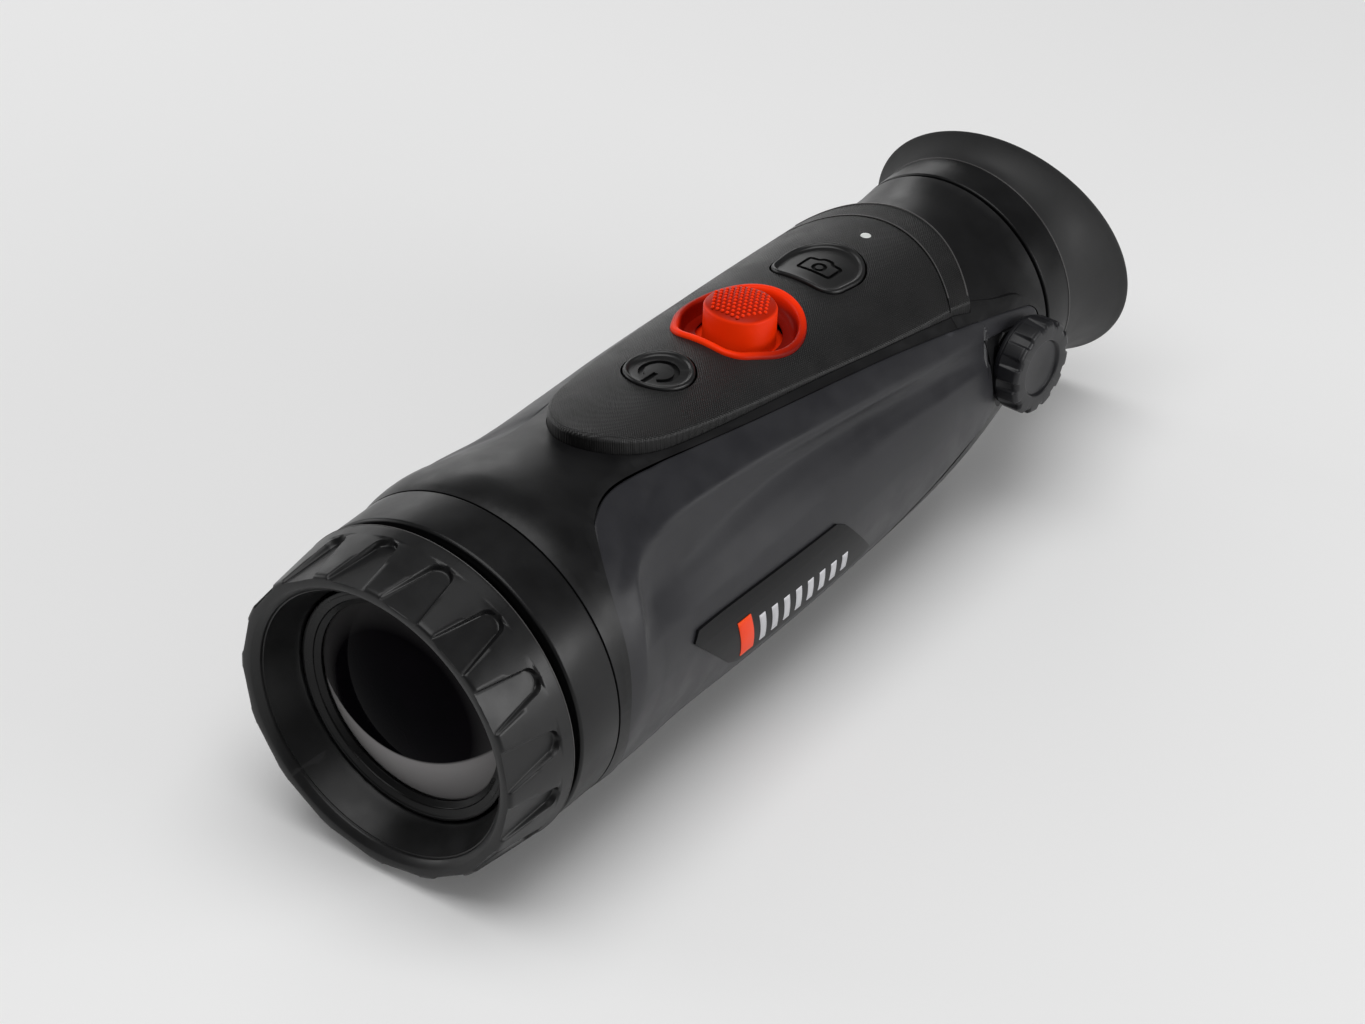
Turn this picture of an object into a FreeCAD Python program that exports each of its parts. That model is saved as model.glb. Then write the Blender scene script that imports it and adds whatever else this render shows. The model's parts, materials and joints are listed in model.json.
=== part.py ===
"""Hand-held thermal imaging camera: a monocular with a focus ring, a top control panel,
side grips, a diopter knob and a slanted rubber eyecup.

Every shape is modelled about the optical axis, in millimetres: x is across (positive on the
knob side), y is the station behind the front rim, z is the height over the optical axis.
save() then moves it to the part's frame, whose origin is the mouth of the tripod socket.
"""
import FreeCAD, Part
import math
import os

os.makedirs("parts", exist_ok=True)
V = FreeCAD.Vector
ACROSS = V(1, 0, 0)
ALONG = V(0, 1, 0)
UP = V(0, 0, 1)

# --- the part's frame -----------------------------------------------------------------
SOCKET_STATION = 95.0        # tripod socket, behind the front rim
AXIS_HEIGHT = 35.5           # optical axis over the resting face

# --- body: circles (station, radius, drop of the centre under the optical axis) ----------
BODY = ((31.6, 34.35, 0.0), (45, 34.3, 0.0), (60, 33.2, 1.0), (80, 33.1, 1.6), (100, 33.0, 1.8),
        (121, 32.4, 1.9), (141, 31.5, 2.0), (161, 29.6, 2.1), (177, 27.0, 1.6), (189.8, 25.7, 0.0))
CAVITY = ((44.4, 28.6, 0.0), (60, 27.6, 1.0), (80, 27.0, 1.6), (100, 26.0, 1.8), (121, 25.4, 1.9),
          (141, 24.3, 2.0), (161, 22.8, 2.1), (177, 21.6, 1.6), (186, 20.2, 0.4))
GRIP_DEPTH = 4.4             # from the body's skin to the back of a grip
SPIGOT_FRONT_R = 29.8        # the front barrel's spigot inside the housing
BADGE_DEPTH = 1.2
RAIL = ((150, 30.7, 2.0), (161, 29.7, 2.1), (177, 27.7, 1.6), (189.8, 26.8, 0.0))  # outside of the rails
RAIL_DEPTH = 1.2             # from the body's skin to the back of a grip's part of the rail

# --- control panel ----------------------------------------------------------------------
PANEL_STATION = 87.5         # where the panel's centre line is PANEL_HEIGHT high
PANEL_HEIGHT = 33.6
PANEL_SLOPE = 4.07           # degrees, falling to the rear
PANEL_CROWN = 32.0
PANEL_THICK = 3.4
PANEL_ROUND = 1.0            # rounding of the panel's top edge
PANEL_LIP, LIP_START = 1.6, 167.0    # thickness of the panel's thin rear lip, and where it starts
SEAM_SIDE, SEAM_REAR = (26.0, 155.0), 166.3   # an arc across the panel's top, engraved as a line
SEAM_WIDTH, SEAM_DEPTH = 0.4, 0.35
POWER_STATION, POWER_RADIUS = 88.8, 7.2
JOY_STATION, JOY_RADIUS, JOY_TOP = 115.5, 7.5, 4.0
CAMERA_FRONT, CAMERA_CENTRE, CAMERA_RADIUS = 135.1, 143.6, 9.0
BEZEL_PROUD = 0.7            # joystick surround over the panel's crown
LED_STATION, LED_RADIUS = 159.3, 1.2
BOARD_TOP = -8.0             # keypad board, under the panel's top
JOY_PIVOT = -12.0

# --- objective and focus ----------------------------------------------------------------
RING_REAR = 17.6
RING_FRONT_R, RING_REAR_R = 33.0, 34.6
RECESSES = 16                # finger recesses around the focus ring
RECESS_PHASE = 9.2           # degrees from the top
BARREL_FRONT, BARREL_REAR, BARREL_R = 19.8, 31.4, 34.3
SLEEVE_IN, SLEEVE_OUT = 28.68, 30.0
GUIDE_IN, GUIDE_OUT = 26.15, 28.6
CELL_R = 26.1
CAM_STATION, CAM_PIN_R, CAM_RISE = 23.0, 1.0, 1.1
CAM_HALF_SWEEP = 63.5        # degrees of slot each side of a pin
FOCUS_TRAVEL = 1.0

# --- eyepiece and diopter ---------------------------------------------------------------
EYE_CELL_R, EYE_BORE_R = 15.5, 15.6
COLLAR_FRONT, COLLAR_REAR, COLLAR_R = 190.4, 198.9, 25.8
SPIGOT_R, SPIGOT_REAR = 21.5, 205.0
LIP_STATION, LIP_R, LIP_ACROSS, LIP_UP = 211.1, 29.7, 0.14, -0.20
KNOB_STATION, KNOB_R, KNOB_IN, KNOB_OUT = 176.0, 10.3, 27.6, 34.0
SHAFT_R = 2.0
TEETH, MODULE = 8, 0.8
PITCH_R = TEETH * MODULE / 2

# --- underside --------------------------------------------------------------------------
BASE_FRONT, BASE_REAR, BASE_HALF = 52.0, 132.0, 12.5
BASE_Z = -AXIS_HEIGHT
BASE_TOP = -32.0
THREAD_R, THREAD_DEPTH = 2.55, 5.5
FLAP_PIVOT_S, FLAP_PIVOT_Z = 143.6, -32.2
PORT_STATION = 150.5


# --- basic shapes -----------------------------------------------------------------------
def save(node, *shapes):
    """Write one node: its solids, moved to the part's frame."""
    solids = [solid for shape in shapes for solid in shape.Solids]
    whole = solids[0] if len(solids) == 1 else Part.makeCompound(solids)
    whole = whole.copy()
    whole.translate(V(0, -SOCKET_STATION, AXIS_HEIGHT))
    whole.exportStep("parts/%s.step" % node)
    print("%-22s %d solid(s) %9.1f mm3 %s" % (node, len(solids), whole.Volume, whole.isValid()))


def disc(radius, front, rear, x=0.0, z=0.0):
    return Part.makeCylinder(radius, rear - front, V(x, front, z), ALONG)


def tube(outer, inner, front, rear):
    return disc(outer, front, rear).cut(disc(inner, front - 1, rear + 1))


def rod_across(radius, x0, x1, station, z):
    return Part.makeCylinder(radius, x1 - x0, V(x0, station, z), ACROSS)


def rod_up(radius, z0, z1, station, x=0.0):
    return Part.makeCylinder(radius, z1 - z0, V(x, station, z0), UP)


def block(x0, x1, front, rear, z0, z1):
    return Part.makeBox(x1 - x0, rear - front, z1 - z0, V(x0, front, z0))


def plate(half, front, rear, z0, z1, corner):
    """A plate with rounded corners, seen from above."""
    shape = block(-half, half, front, rear, z0, z1)
    upright = [edge for edge in shape.Edges if abs(edge.tangentAt(edge.FirstParameter).z) > 0.9]
    return shape.makeFillet(corner, upright)


def turned(points):
    """Turn an outline of (radius, station) points about the optical axis."""
    wire = Part.makePolygon([V(radius, station, 0) for radius, station in points + points[:1]])
    return Part.Face(wire).revolve(V(0, 0, 0), ALONG, 360)


def stack(sections, grow=0.0):
    """A smooth body through circles given as (station, radius, drop)."""
    rings = [Part.Wire(Part.makeCircle(radius + grow, V(0, station, -drop), ALONG))
             for station, radius, drop in sections]
    return Part.makeLoft(rings, True, False)


def curve(points):
    spline = Part.BSplineCurve()
    spline.interpolate(points)
    return spline.toShape()


def line(a, b):
    return Part.LineSegment(a, b).toShape()


def side_prism(edges, x0=6.0, x1=45.0):
    """Push a closed side-view outline (in the y-z plane) across the body."""
    face = Part.Face(Part.Wire(Part.__sortEdges__(edges)))
    face.translate(V(x0, 0, 0))
    return face.extrude(V(x1 - x0, 0, 0))


def side_polygon(points):
    corners = [V(0, station, z) for station, z in points]
    return [line(a, b) for a, b in zip(corners, corners[1:] + corners[:1])]


def mirrored(shape):
    return shape.mirror(V(0, 0, 0), ACROSS)


# --- shapes on the sloping panel ---------------------------------------------------------
def on_panel(shape):
    """Move a shape from panel coordinates (z = 0 on the panel's centre line) to the body."""
    placed = shape.copy()
    placed.rotate(V(0, PANEL_STATION, 0), ACROSS, -PANEL_SLOPE)
    placed.translate(V(0, 0, PANEL_HEIGHT))
    return placed


def flat_prism(wire, z0, z1):
    face = Part.Face(wire)
    face.translate(V(0, 0, z0))
    return face.extrude(V(0, 0, z1 - z0))


def shield(front_half, front, radius, centre, corner, grow=0.0):
    """A shield outline: straight front edge, round corners and a round rear."""
    small, large = corner + grow, radius + grow
    a = V(front_half - corner, front + corner, 0)
    b = V(0, centre, 0)
    unit = (b - a).normalize()
    slant = (small - large) / (b - a).Length
    side = V(-unit.y, unit.x, 0)
    side = side if side.x > 0 else side * -1
    normal = unit * slant + side * math.sqrt(1 - slant * slant)
    corner_end, round_start = a + normal * small, b + normal * large
    corner_start = a + V(0, -small, 0)
    middle = a + (normal + V(0, -1, 0)).normalize() * small

    def flip(point):
        return V(-point.x, point.y, 0)

    return Part.Wire([
        line(flip(corner_start), corner_start),
        Part.Arc(corner_start, middle, corner_end).toShape(),
        line(corner_end, round_start),
        Part.Arc(round_start, b + V(0, large, 0), flip(round_start)).toShape(),
        line(flip(round_start), flip(corner_end)),
        Part.Arc(flip(corner_end), flip(middle), flip(corner_start)).toShape()])


def panel_outline(grow=0.0):
    """The panel seen from above: a tongue with a round front that widens to the rear."""
    half_points = [(0, 59.6), (8.4, 64.2), (14.3, 79), (18.5, 111), (21.2, 138), (22.4, 160)]
    right = [V(x + grow * min(1, x / 8), s - grow * max(0, 1 - x / 12), 0) for x, s in half_points]
    left = [V(-p.x, p.y, 0) for p in right[1:]]
    front = curve(list(reversed(left)) + right)
    corner = V(23.0 + grow, 165.2 + grow, 0)
    rear = Part.Arc(corner, V(0, 174 + grow, 0), V(-corner.x, corner.y, 0)).toShape()
    return Part.Wire([front, line(right[-1], corner), rear, line(V(-corner.x, corner.y, 0), left[-1])])


def panel_shell(inner, outer, grow=0.0):
    """The part of the panel's outline between two crowns about the panel's own axis."""
    prism = flat_prism(panel_outline(grow), -20, 12)
    axis = V(0, 40, -PANEL_CROWN)
    crown = Part.makeCylinder(outer, 150, axis, ALONG)
    hollow = Part.makeCylinder(inner, 152, axis - ALONG, ALONG)
    return prism.common(crown).cut(hollow)


def under_lip(radius, start):
    """What lies under the panel's thin rear lip."""
    return Part.makeCylinder(radius, 30, V(0, start, -PANEL_CROWN), ALONG)


def seam():
    """The engraved line across the panel's top, in front of its rear edge."""
    side, rear = SEAM_SIDE
    front_arc = Part.Arc(V(-side, rear, 0), V(0, SEAM_REAR, 0), V(side, rear, 0)).toShape()
    rear_arc = front_arc.translated(V(0, SEAM_WIDTH, 0))
    ends = [line(V(x, rear, 0), V(x, rear + SEAM_WIDTH, 0)) for x in (-side, side)]
    wall = flat_prism(Part.Wire(Part.__sortEdges__([front_arc, rear_arc] + ends)), -20, 6)
    return wall.cut(Part.makeCylinder(PANEL_CROWN - SEAM_DEPTH, 60, V(0, 130, -PANEL_CROWN), ALONG))


def crown_edges(panel):
    """The edges around the panel's top face."""
    def on_crown(edge):
        points = [edge.valueAt(edge.FirstParameter + share * (edge.LastParameter - edge.FirstParameter))
                  for share in (0, 0.3, 0.7, 1)]
        return all(abs(math.hypot(p.x, p.z + PANEL_CROWN) - PANEL_CROWN) < 0.01 for p in points)
    return [edge for edge in panel.Edges if on_crown(edge)]


def power_wire(grow=0.0):
    return Part.Wire(Part.makeCircle(POWER_RADIUS + grow, V(0, POWER_STATION, 0), UP))


def camera_wire(grow=0.0):
    return shield(8.6, CAMERA_FRONT, CAMERA_RADIUS, CAMERA_CENTRE, 4.2, grow)


def bezel_wire(grow=0.0):
    return shield(10.5, 101.9, 13.5, 115.5, 6.5, grow)


PANEL_SCREWS = ((-8.5, 99.5), (8.5, 99.5), (-8.5, 156.0), (8.5, 156.0))


# --- grips and badges --------------------------------------------------------------------
def grip_region(grow=0.0):
    """Side view of a grip: under the panel, round the front, and tapering to the knob."""
    top = [V(0, s, z + grow) for s, z in ((45.5, 29.3), (52, 29.9), (62, 29.1), (72, 28.05), (82, 27.0),
                                          (93, 25.8), (104, 24.55), (121, 22.4), (137, 20.0),
                                          (152.5, 16.9), (167, 13.2), (173, 11.6))]
    front = [top[0]] + [V(0, s - grow, z) for s, z in ((38.9, 23.5), (35.8, 11), (34.4, -4))]
    front.append(V(0, 38 - grow, -23 - grow))
    bottom = [front[-1]] + [V(0, s, z - grow) for s, z in ((70, -25), (112, -22), (150, -13), (173, -7))]
    return side_prism([curve(top), curve(front), curve(bottom), line(bottom[-1], top[-1])])


def scoop():
    """The long concave valley in a grip: circles across the body, fading out at both ends."""
    rings = []
    for station, skin, angle, radius, depth in ((33, 34.3, 20, 80, -1.2), (48, 34.2, 20, 80, 2.7),
                                                (165, 28.5, 7, 16, 1.9), (178, 26.8, 5, 14, -1.0)):
        reach = skin + radius - depth
        turn = math.radians(angle)
        centre = V(reach * math.cos(turn), station, reach * math.sin(turn))
        rings.append(Part.Wire(Part.makeCircle(radius, centre, ALONG)))
    return Part.makeLoft(rings, True, True)


def badge_region(grow=0.0):
    points = ((56.4, 1.0), (58.0, 3.2), (104.0, 1.4), (107.4, -0.8), (120.2, -15.0), (118.6, -16.8),
              (75.5, -16.8), (70.5, -13.5))
    centre_s, centre_z = 88.0, -7.0
    spread = [(s + math.copysign(grow, s - centre_s), z + math.copysign(grow, z - centre_z))
              for s, z in points]
    return side_prism(side_polygon(spread))


def rail_region():
    """Side view of a rail: it leaves the body's taper, runs over the knob and ends in a nose."""
    over = curve([V(0, s, z) for s, z in ((158, 19.6), (166, 17.2), (175.8, 13.6), (180.5, 12.1),
                                          (184.3, 9.2), (186.5, 6.4), (187.9, 3.2))])
    under = curve([V(0, s, z) for s, z in ((187.9, 3.2), (184.6, 4.2), (180, 6.1), (172.6, 8.1),
                                           (164, 10.0), (158, 11.5))])
    return side_prism([over, under, line(V(0, 158, 11.5), V(0, 158, 19.6))], 10)


def rail_grip_region(grow=0.0):
    """Side view of the grip's part of a rail, under the line that ends near the nose."""
    upper = curve([V(0, s, z + grow) for s, z in ((163, 14.1), (167, 13.1), (178.6, 9.9), (183, 8.6))])
    nose = curve([V(0, 183, 8.6 + grow), V(0, 185.3 + grow, 6.4), V(0, 184.6 + grow, 2.0)])
    lower = [line(V(0, 184.6 + grow, 2.0), V(0, 163, 2.0)), line(V(0, 163, 2.0), V(0, 163, 14.1 + grow))]
    return side_prism([upper, nose] + lower, 10)


def make_sides(skin):
    """Grips and badge plates, flush with the body's skin. Returns what the housing gives up."""
    behind_grip = stack(BODY, -GRIP_DEPTH)
    behind_badge = stack(BODY, -BADGE_DEPTH)
    kept_clear = [block(10, 45, KNOB_STATION - KNOB_R - 0.7, 200, -30, 30),
                  disc(SPIGOT_FRONT_R + 0.7, 30, 45),
                  on_panel(flat_prism(panel_outline(1.3), -60, 12))]
    region = grip_region().cut(kept_clear)
    badge = skin.common(badge_region()).cut(behind_badge)
    pocket = badge_region(0.12).cut(behind_badge)
    grip = skin.common(region).cut(behind_grip).cut(scoop()).cut(pocket)
    behind_rail = stack(BODY, -RAIL_DEPTH)
    rail = rail_region().common(stack(RAIL)).cut([behind_rail, knob_recess()])
    grip = grip.fuse(rail.common(rail_grip_region()))
    save("grip_right", grip)
    save("grip_left", mirrored(grip))
    save("badge_right", badge)
    save("badge_left", mirrored(badge))
    given = grip_region(0.1).cut(kept_clear).cut(behind_grip)
    rail_given = rail_grip_region(0.1).common(rail_region()).cut(stack(BODY, -RAIL_DEPTH - 0.1))
    return [given, mirrored(given), rail_given, mirrored(rail_given)], rail


# --- housing -----------------------------------------------------------------------------
def knob_recess():
    return rod_across(KNOB_R + 0.6, KNOB_IN - 0.6, 45, KNOB_STATION, 0)


def make_housing(skin, given, rail):
    boss = rod_across(9.2, 17, 26.9, KNOB_STATION, 0).cut(stack(BODY, -4.0))
    body = skin.fuse([rail, mirrored(rail), boss]).cut(given)
    body = body.cut([disc(SPIGOT_FRONT_R + 0.05, 31, 44.5), stack(CAVITY), disc(19.7, 185, 192),
                     knob_recess()])
    seat = panel_shell(PANEL_CROWN - PANEL_THICK - 0.05, PANEL_CROWN + 14, 0.15)
    body = body.cut(on_panel(seat.cut(under_lip(PANEL_CROWN - PANEL_LIP - 0.05, LIP_START + 0.15))))
    board_well = [V(-11.5, 78, 0), V(11.5, 78, 0), V(11.5, 161.5, 0), V(-11.5, 161.5, 0), V(-11.5, 78, 0)]
    body = body.cut(on_panel(flat_prism(Part.Wire(Part.makePolygon(board_well)), -16, 2)))
    body = body.fuse(rod_up(7.6, BASE_TOP, -26.6, SOCKET_STATION))
    body = body.cut(plate(BASE_HALF + 0.1, BASE_FRONT - 0.1, BASE_REAR + 0.1, -40, BASE_TOP, 5))
    body = body.cut(rod_up(5.6, BASE_TOP - 1, -28.3, SOCKET_STATION))
    for x, station in base_screw_places():
        body = body.cut(rod_up(1.3, BASE_TOP - 1, -29.2, station, x))
    body = body.cut(rod_across(4.0, 10, 30, KNOB_STATION, 0))
    body = body.cut([block(-8, 8, 142, 157.4, -36, -30.6), port_shell(0.25, -31, -20)])
    save("main_housing", body)


def port_shell(grow, z0, z1):
    """The outline of the charging port, with round ends."""
    half, thick = 2.9, 1.6 + grow
    middle = block(-half, half, PORT_STATION - thick, PORT_STATION + thick, z0, z1)
    ends = [rod_up(thick, z0, z1, PORT_STATION, x) for x in (-half, half)]
    return middle.fuse(ends).removeSplitter()


def base_screw_places():
    return [(x, station) for x in (-8.6, 8.6) for station in (57.0, 127.0)]


def make_underside():
    base = plate(BASE_HALF, BASE_FRONT, BASE_REAR, BASE_Z, BASE_TOP, 5)
    base = base.cut(rod_up(5.5, BASE_Z - 1, BASE_TOP + 1, SOCKET_STATION))
    screws = []
    for x, station in base_screw_places():
        head = rod_up(2.4, BASE_Z + 0.3, BASE_Z + 1.9, station, x)
        shank = rod_up(1.25, BASE_Z + 1.9, -29.4, station, x)
        base = base.cut([rod_up(2.5, BASE_Z - 1, BASE_Z + 1.9, station, x),
                         rod_up(1.25, BASE_Z, -31, station, x)])
        screws.append(head.fuse(shank).removeSplitter().cut(hexagon(1.1, BASE_Z, BASE_Z + 1.3, x, station)))
    save("base_plate", base)
    save("base_screws", *screws)
    insert = rod_up(5.5, BASE_Z, -28.4, SOCKET_STATION)
    thread = rod_up(THREAD_R, BASE_Z - 1, BASE_Z + THREAD_DEPTH, SOCKET_STATION)
    save("tripod_insert", insert.cut(thread))
    make_usb()


def hexagon(radius, z0, z1, x, station):
    angles = [math.radians(60 * k) for k in range(7)]
    corners = [V(x + radius * math.cos(angle), station + radius * math.sin(angle), 0) for angle in angles]
    return flat_prism(Part.makePolygon(corners), z0, z1)


def make_usb():
    flap = block(-7.6, 7.6, 142.6, 156.9, -33.2, -31.2)
    flap = flap.cut(rod_across(0.9, -9, 9, FLAP_PIVOT_S, FLAP_PIVOT_Z))
    pull = block(-3, 3, 156.2, 157.1, -33.0, -32.0)
    save("usb_cover", flap.fuse(pull).removeSplitter())
    save("usb_hinge_pin", rod_across(0.82, -8, 8, FLAP_PIVOT_S, FLAP_PIVOT_Z))
    shell = port_shell(0, -30.4, -22.4).cut(port_shell(-0.35, -31, -23.4))
    save("usb_connector", shell)
    save("usb_board", block(-7.5, 7.5, 144, 157, -22.4, -21.2))


def make_strap_lug():
    lug = block(-31.8, -24.6, 170.5, 181.5, -1.6, 1.6)
    upright = [edge for edge in lug.Edges
               if abs(edge.tangentAt(edge.FirstParameter).z) > 0.9 and edge.BoundBox.XMax < -30]
    lug = lug.makeFillet(2.6, upright)
    slot = block(-30.2, -27.2, 172.6, 179.4, -3, 3)
    save("strap_lug", lug.cut(slot).cut(stack(BODY)))


# --- objective -----------------------------------------------------------------------------
def finger_recess():
    """One recess: a flat-bottomed arch, open at the front rim, narrowing to a round rear end."""
    half_front, half_rear, start, stop = 4.6, 2.6, -1.0, 11.4
    arch = Part.Wire([
        line(V(-half_rear, stop, 0), V(-half_front, start, 0)),
        line(V(-half_front, start, 0), V(half_front, start, 0)),
        line(V(half_front, start, 0), V(half_rear, stop, 0)),
        Part.Arc(V(half_rear, stop, 0), V(0, stop + half_rear, 0), V(-half_rear, stop, 0)).toShape()])
    cutter = Part.Face(arch).extrude(V(0, 0, 8))
    cutter.rotate(V(0, 0, 0), ACROSS, 3.0)
    cutter.translate(V(0, 0, 32.15))
    return cutter


def make_focus_ring():
    ring = turned([(29.2, 1.4), (30.6, 0.0), (32.5, 0.0), (RING_FRONT_R, 0.5),
                   (RING_REAR_R, RING_REAR - 0.6), (RING_REAR_R - 0.5, RING_REAR), (SLEEVE_OUT, RING_REAR),
                   (SLEEVE_OUT, 10.2), (25.8, 10.2), (25.8, 8.6), (28.9, 1.9), (29.2, 1.9)])
    recess = finger_recess()
    recesses = []
    for k in range(RECESSES):
        turned_recess = recess.copy()
        turned_recess.rotate(V(0, 0, 0), ALONG, -RECESS_PHASE + k * 360 / RECESSES)
        recesses.append(turned_recess)
    save("focus_ring", ring.cut(recesses))


def cam_slot():
    """A slanting slot for the upper follower pin, cut from a tilted slab and a wedge."""
    half = CAM_PIN_R + 0.12
    slab = disc(40, CAM_STATION - half, CAM_STATION + half)
    slab.rotate(V(0, CAM_STATION, 0), UP, math.degrees(math.asin(CAM_RISE / SLEEVE_OUT)))
    reach = 60
    left, right = math.radians(90 + CAM_HALF_SWEEP), math.radians(90 - CAM_HALF_SWEEP)
    wedge = Part.Face(Part.makePolygon([
        V(0, 0, 0), V(reach * math.cos(left), 0, reach * math.sin(left)), V(0, 0, 2 * reach),
        V(reach * math.cos(right), 0, reach * math.sin(right)), V(0, 0, 0)])).extrude(ALONG * 60)
    return slab.common(wedge)


def opposite(shape):
    other = shape.copy()
    other.rotate(V(0, 0, 0), ALONG, 180)
    return other


def make_focus_drive():
    slot = cam_slot()
    save("cam_sleeve", tube(SLEEVE_OUT, SLEEVE_IN, 10.2, 28.0).cut([slot, opposite(slot)]))
    half, reach = CAM_PIN_R + 0.06, FOCUS_TRAVEL + CAM_PIN_R + 0.15
    straight = block(-half, half, CAM_STATION - reach, CAM_STATION + reach, 20, 40)
    guide = tube(GUIDE_OUT, GUIDE_IN, 10.8, 44.0).cut([straight, opposite(straight)])
    save("guide_barrel", guide)
    pin = rod_up(CAM_PIN_R, 24.0, 29.9, CAM_STATION)
    save("cam_pins", pin, opposite(pin))
    save("focus_seal", Part.makeTorus(31.3, 0.9, V(0, 18.75, 0), ALONG))


def make_front_barrel():
    barrel = turned([(33.8, BARREL_FRONT), (BARREL_R, BARREL_FRONT + 0.5), (BARREL_R, BARREL_REAR - 0.3),
                     (BARREL_R - 0.3, BARREL_REAR), (SPIGOT_FRONT_R, BARREL_REAR),
                     (SPIGOT_FRONT_R, 44.0), (GUIDE_OUT + 0.03, 44.0), (GUIDE_OUT + 0.03, 30.8),
                     (30.4, 30.0), (30.4, BARREL_FRONT)])
    save("front_barrel", barrel)


def lens(radius, front, rear, front_curve, rear_curve):
    """A round lens; each curve is its sphere's radius, positive when it bulges outward."""
    body = disc(radius, front - 12, rear + 12)

    def cap(station, sphere, way):
        sag = abs(sphere) - math.sqrt(sphere * sphere - radius * radius)
        apex = station + way * (sag if sphere > 0 else -sag)
        centre = apex - way * sphere
        return Part.makeSphere(abs(sphere), V(0, centre, 0))

    for station, sphere, way in ((front, front_curve, -1), (rear, rear_curve, 1)):
        ball = cap(station, sphere, way)
        limit = disc(radius + 1, station, 200) if way < 0 else disc(radius + 1, -60, station)
        body = body.common(limit.fuse(ball)) if sphere > 0 else body.common(limit).cut(ball)
    return body


def make_objective():
    seat = CELL_R - 3.0
    cell = turned([(23.9, 9.9), (25.2, 9.9), (25.2, 11.6), (CELL_R, 12.0), (CELL_R, 37.0), (16.0, 37.0),
                   (16.0, 34.8), (17.6, 34.3), (17.6, 30.5), (19.0, 30.0), (21.6, 15.6), (seat, 15.6),
                   (seat, 11.8), (23.9, 11.8)])
    pin_holes = rod_up(CAM_PIN_R, 24.0, 30, CAM_STATION)
    save("lens_cell", cell.cut([pin_holes, opposite(pin_holes)]))
    save("lens_retaining_ring", turned([(24.5, 8.8), (25.2, 8.8), (25.2, 9.9), (23.9, 9.9), (23.9, 11.7),
                                        (23.1, 11.7), (21.7, 10.9), (21.7, 10.4), (24.2, 9.0)]))
    save("front_lens", lens(seat - 0.05, 11.9, 15.6, 46.0, -75.0))
    save("rear_lens", lens(17.5, 30.6, 34.2, -90.0, 55.0))


# --- thermal core ----------------------------------------------------------------------------
SHUTTER_X, SHUTTER_Z, BLADE_R = 14.0, -14.0, 6.6


def make_core():
    ring = disc(27.9, 44.6, 47.2).cut(disc(8.5, 44, 48))
    ring = ring.cut(disc(0.8, 44, 48, SHUTTER_X, SHUTTER_Z))
    posts = [disc(1.6, 47.2, 54.0, x, z) for x in (-15.5, 15.5) for z in (-15.5, 15.5)
             if (x, z) != (15.5, -15.5)]
    save("core_bracket", ring.fuse(posts).removeSplitter())
    save("detector_package", block(-10, 10, 49.6, 54.0, -10, 10).cut(disc(6.2, 49, 50.3)))
    save("detector_board", block(-17.5, 17.5, 54.0, 55.6, -17.5, 17.5))
    motor = disc(3.0, 49.2, 53.9, SHUTTER_X, SHUTTER_Z)
    save("shutter_motor", motor)
    away = math.hypot(SHUTTER_X, SHUTTER_Z)
    turn = math.radians(75)
    blade_x, blade_z = SHUTTER_X + away * math.cos(turn), SHUTTER_Z + away * math.sin(turn)
    blade = disc(BLADE_R, 47.9, 48.4, blade_x, blade_z)
    stem = Part.makeBox(away, 0.5, 3.0, V(0, 0, -1.5))
    stem.rotate(V(0, 0, 0), ALONG, -75)
    stem.translate(V(SHUTTER_X, 47.9, SHUTTER_Z))
    hub = disc(1.9, 47.6, 48.9, SHUTTER_X, SHUTTER_Z)
    save("shutter_flag", blade.fuse([stem, hub]).removeSplitter())


def make_electronics():
    save("main_board", block(-19, 19, 58, 146, 4.0, 5.6))
    chips = [block(-7, 7, 70, 84, 5.6, 7.2), block(-15, -8.5, 90, 102, 5.6, 6.8),
             block(8.5, 15, 90, 102, 5.6, 6.8), block(-5, 5, 106, 114, 5.6, 7.0),
             block(-9, 9, 140, 144, 5.6, 8.2)]
    save("main_chips", *chips)
    save("heat_spreader", plate(13, 64, 88, 7.2, 8.8, 2))
    save("display_board", block(-12, 12, 148.4, 149.6, -11, 11))
    save("display_module", block(-9, 9, 149.6, 152.6, -7, 7))
    cells = [disc(9.1, 66, 131, x, -11.6) for x in (-9.4, 9.4)]
    save("battery_cells", *cells)
    cradle = block(-19, 19, 63, 134, -22.8, -9.0).common(stack(CAVITY, -0.5))
    rooms = [disc(9.25, 65.9, 131.1, x, -11.6) for x in (-9.4, 9.4)]
    save("battery_tray", cradle.cut(rooms).cut(block(-19, 19, 66, 131, -11.6, 0)))


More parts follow.
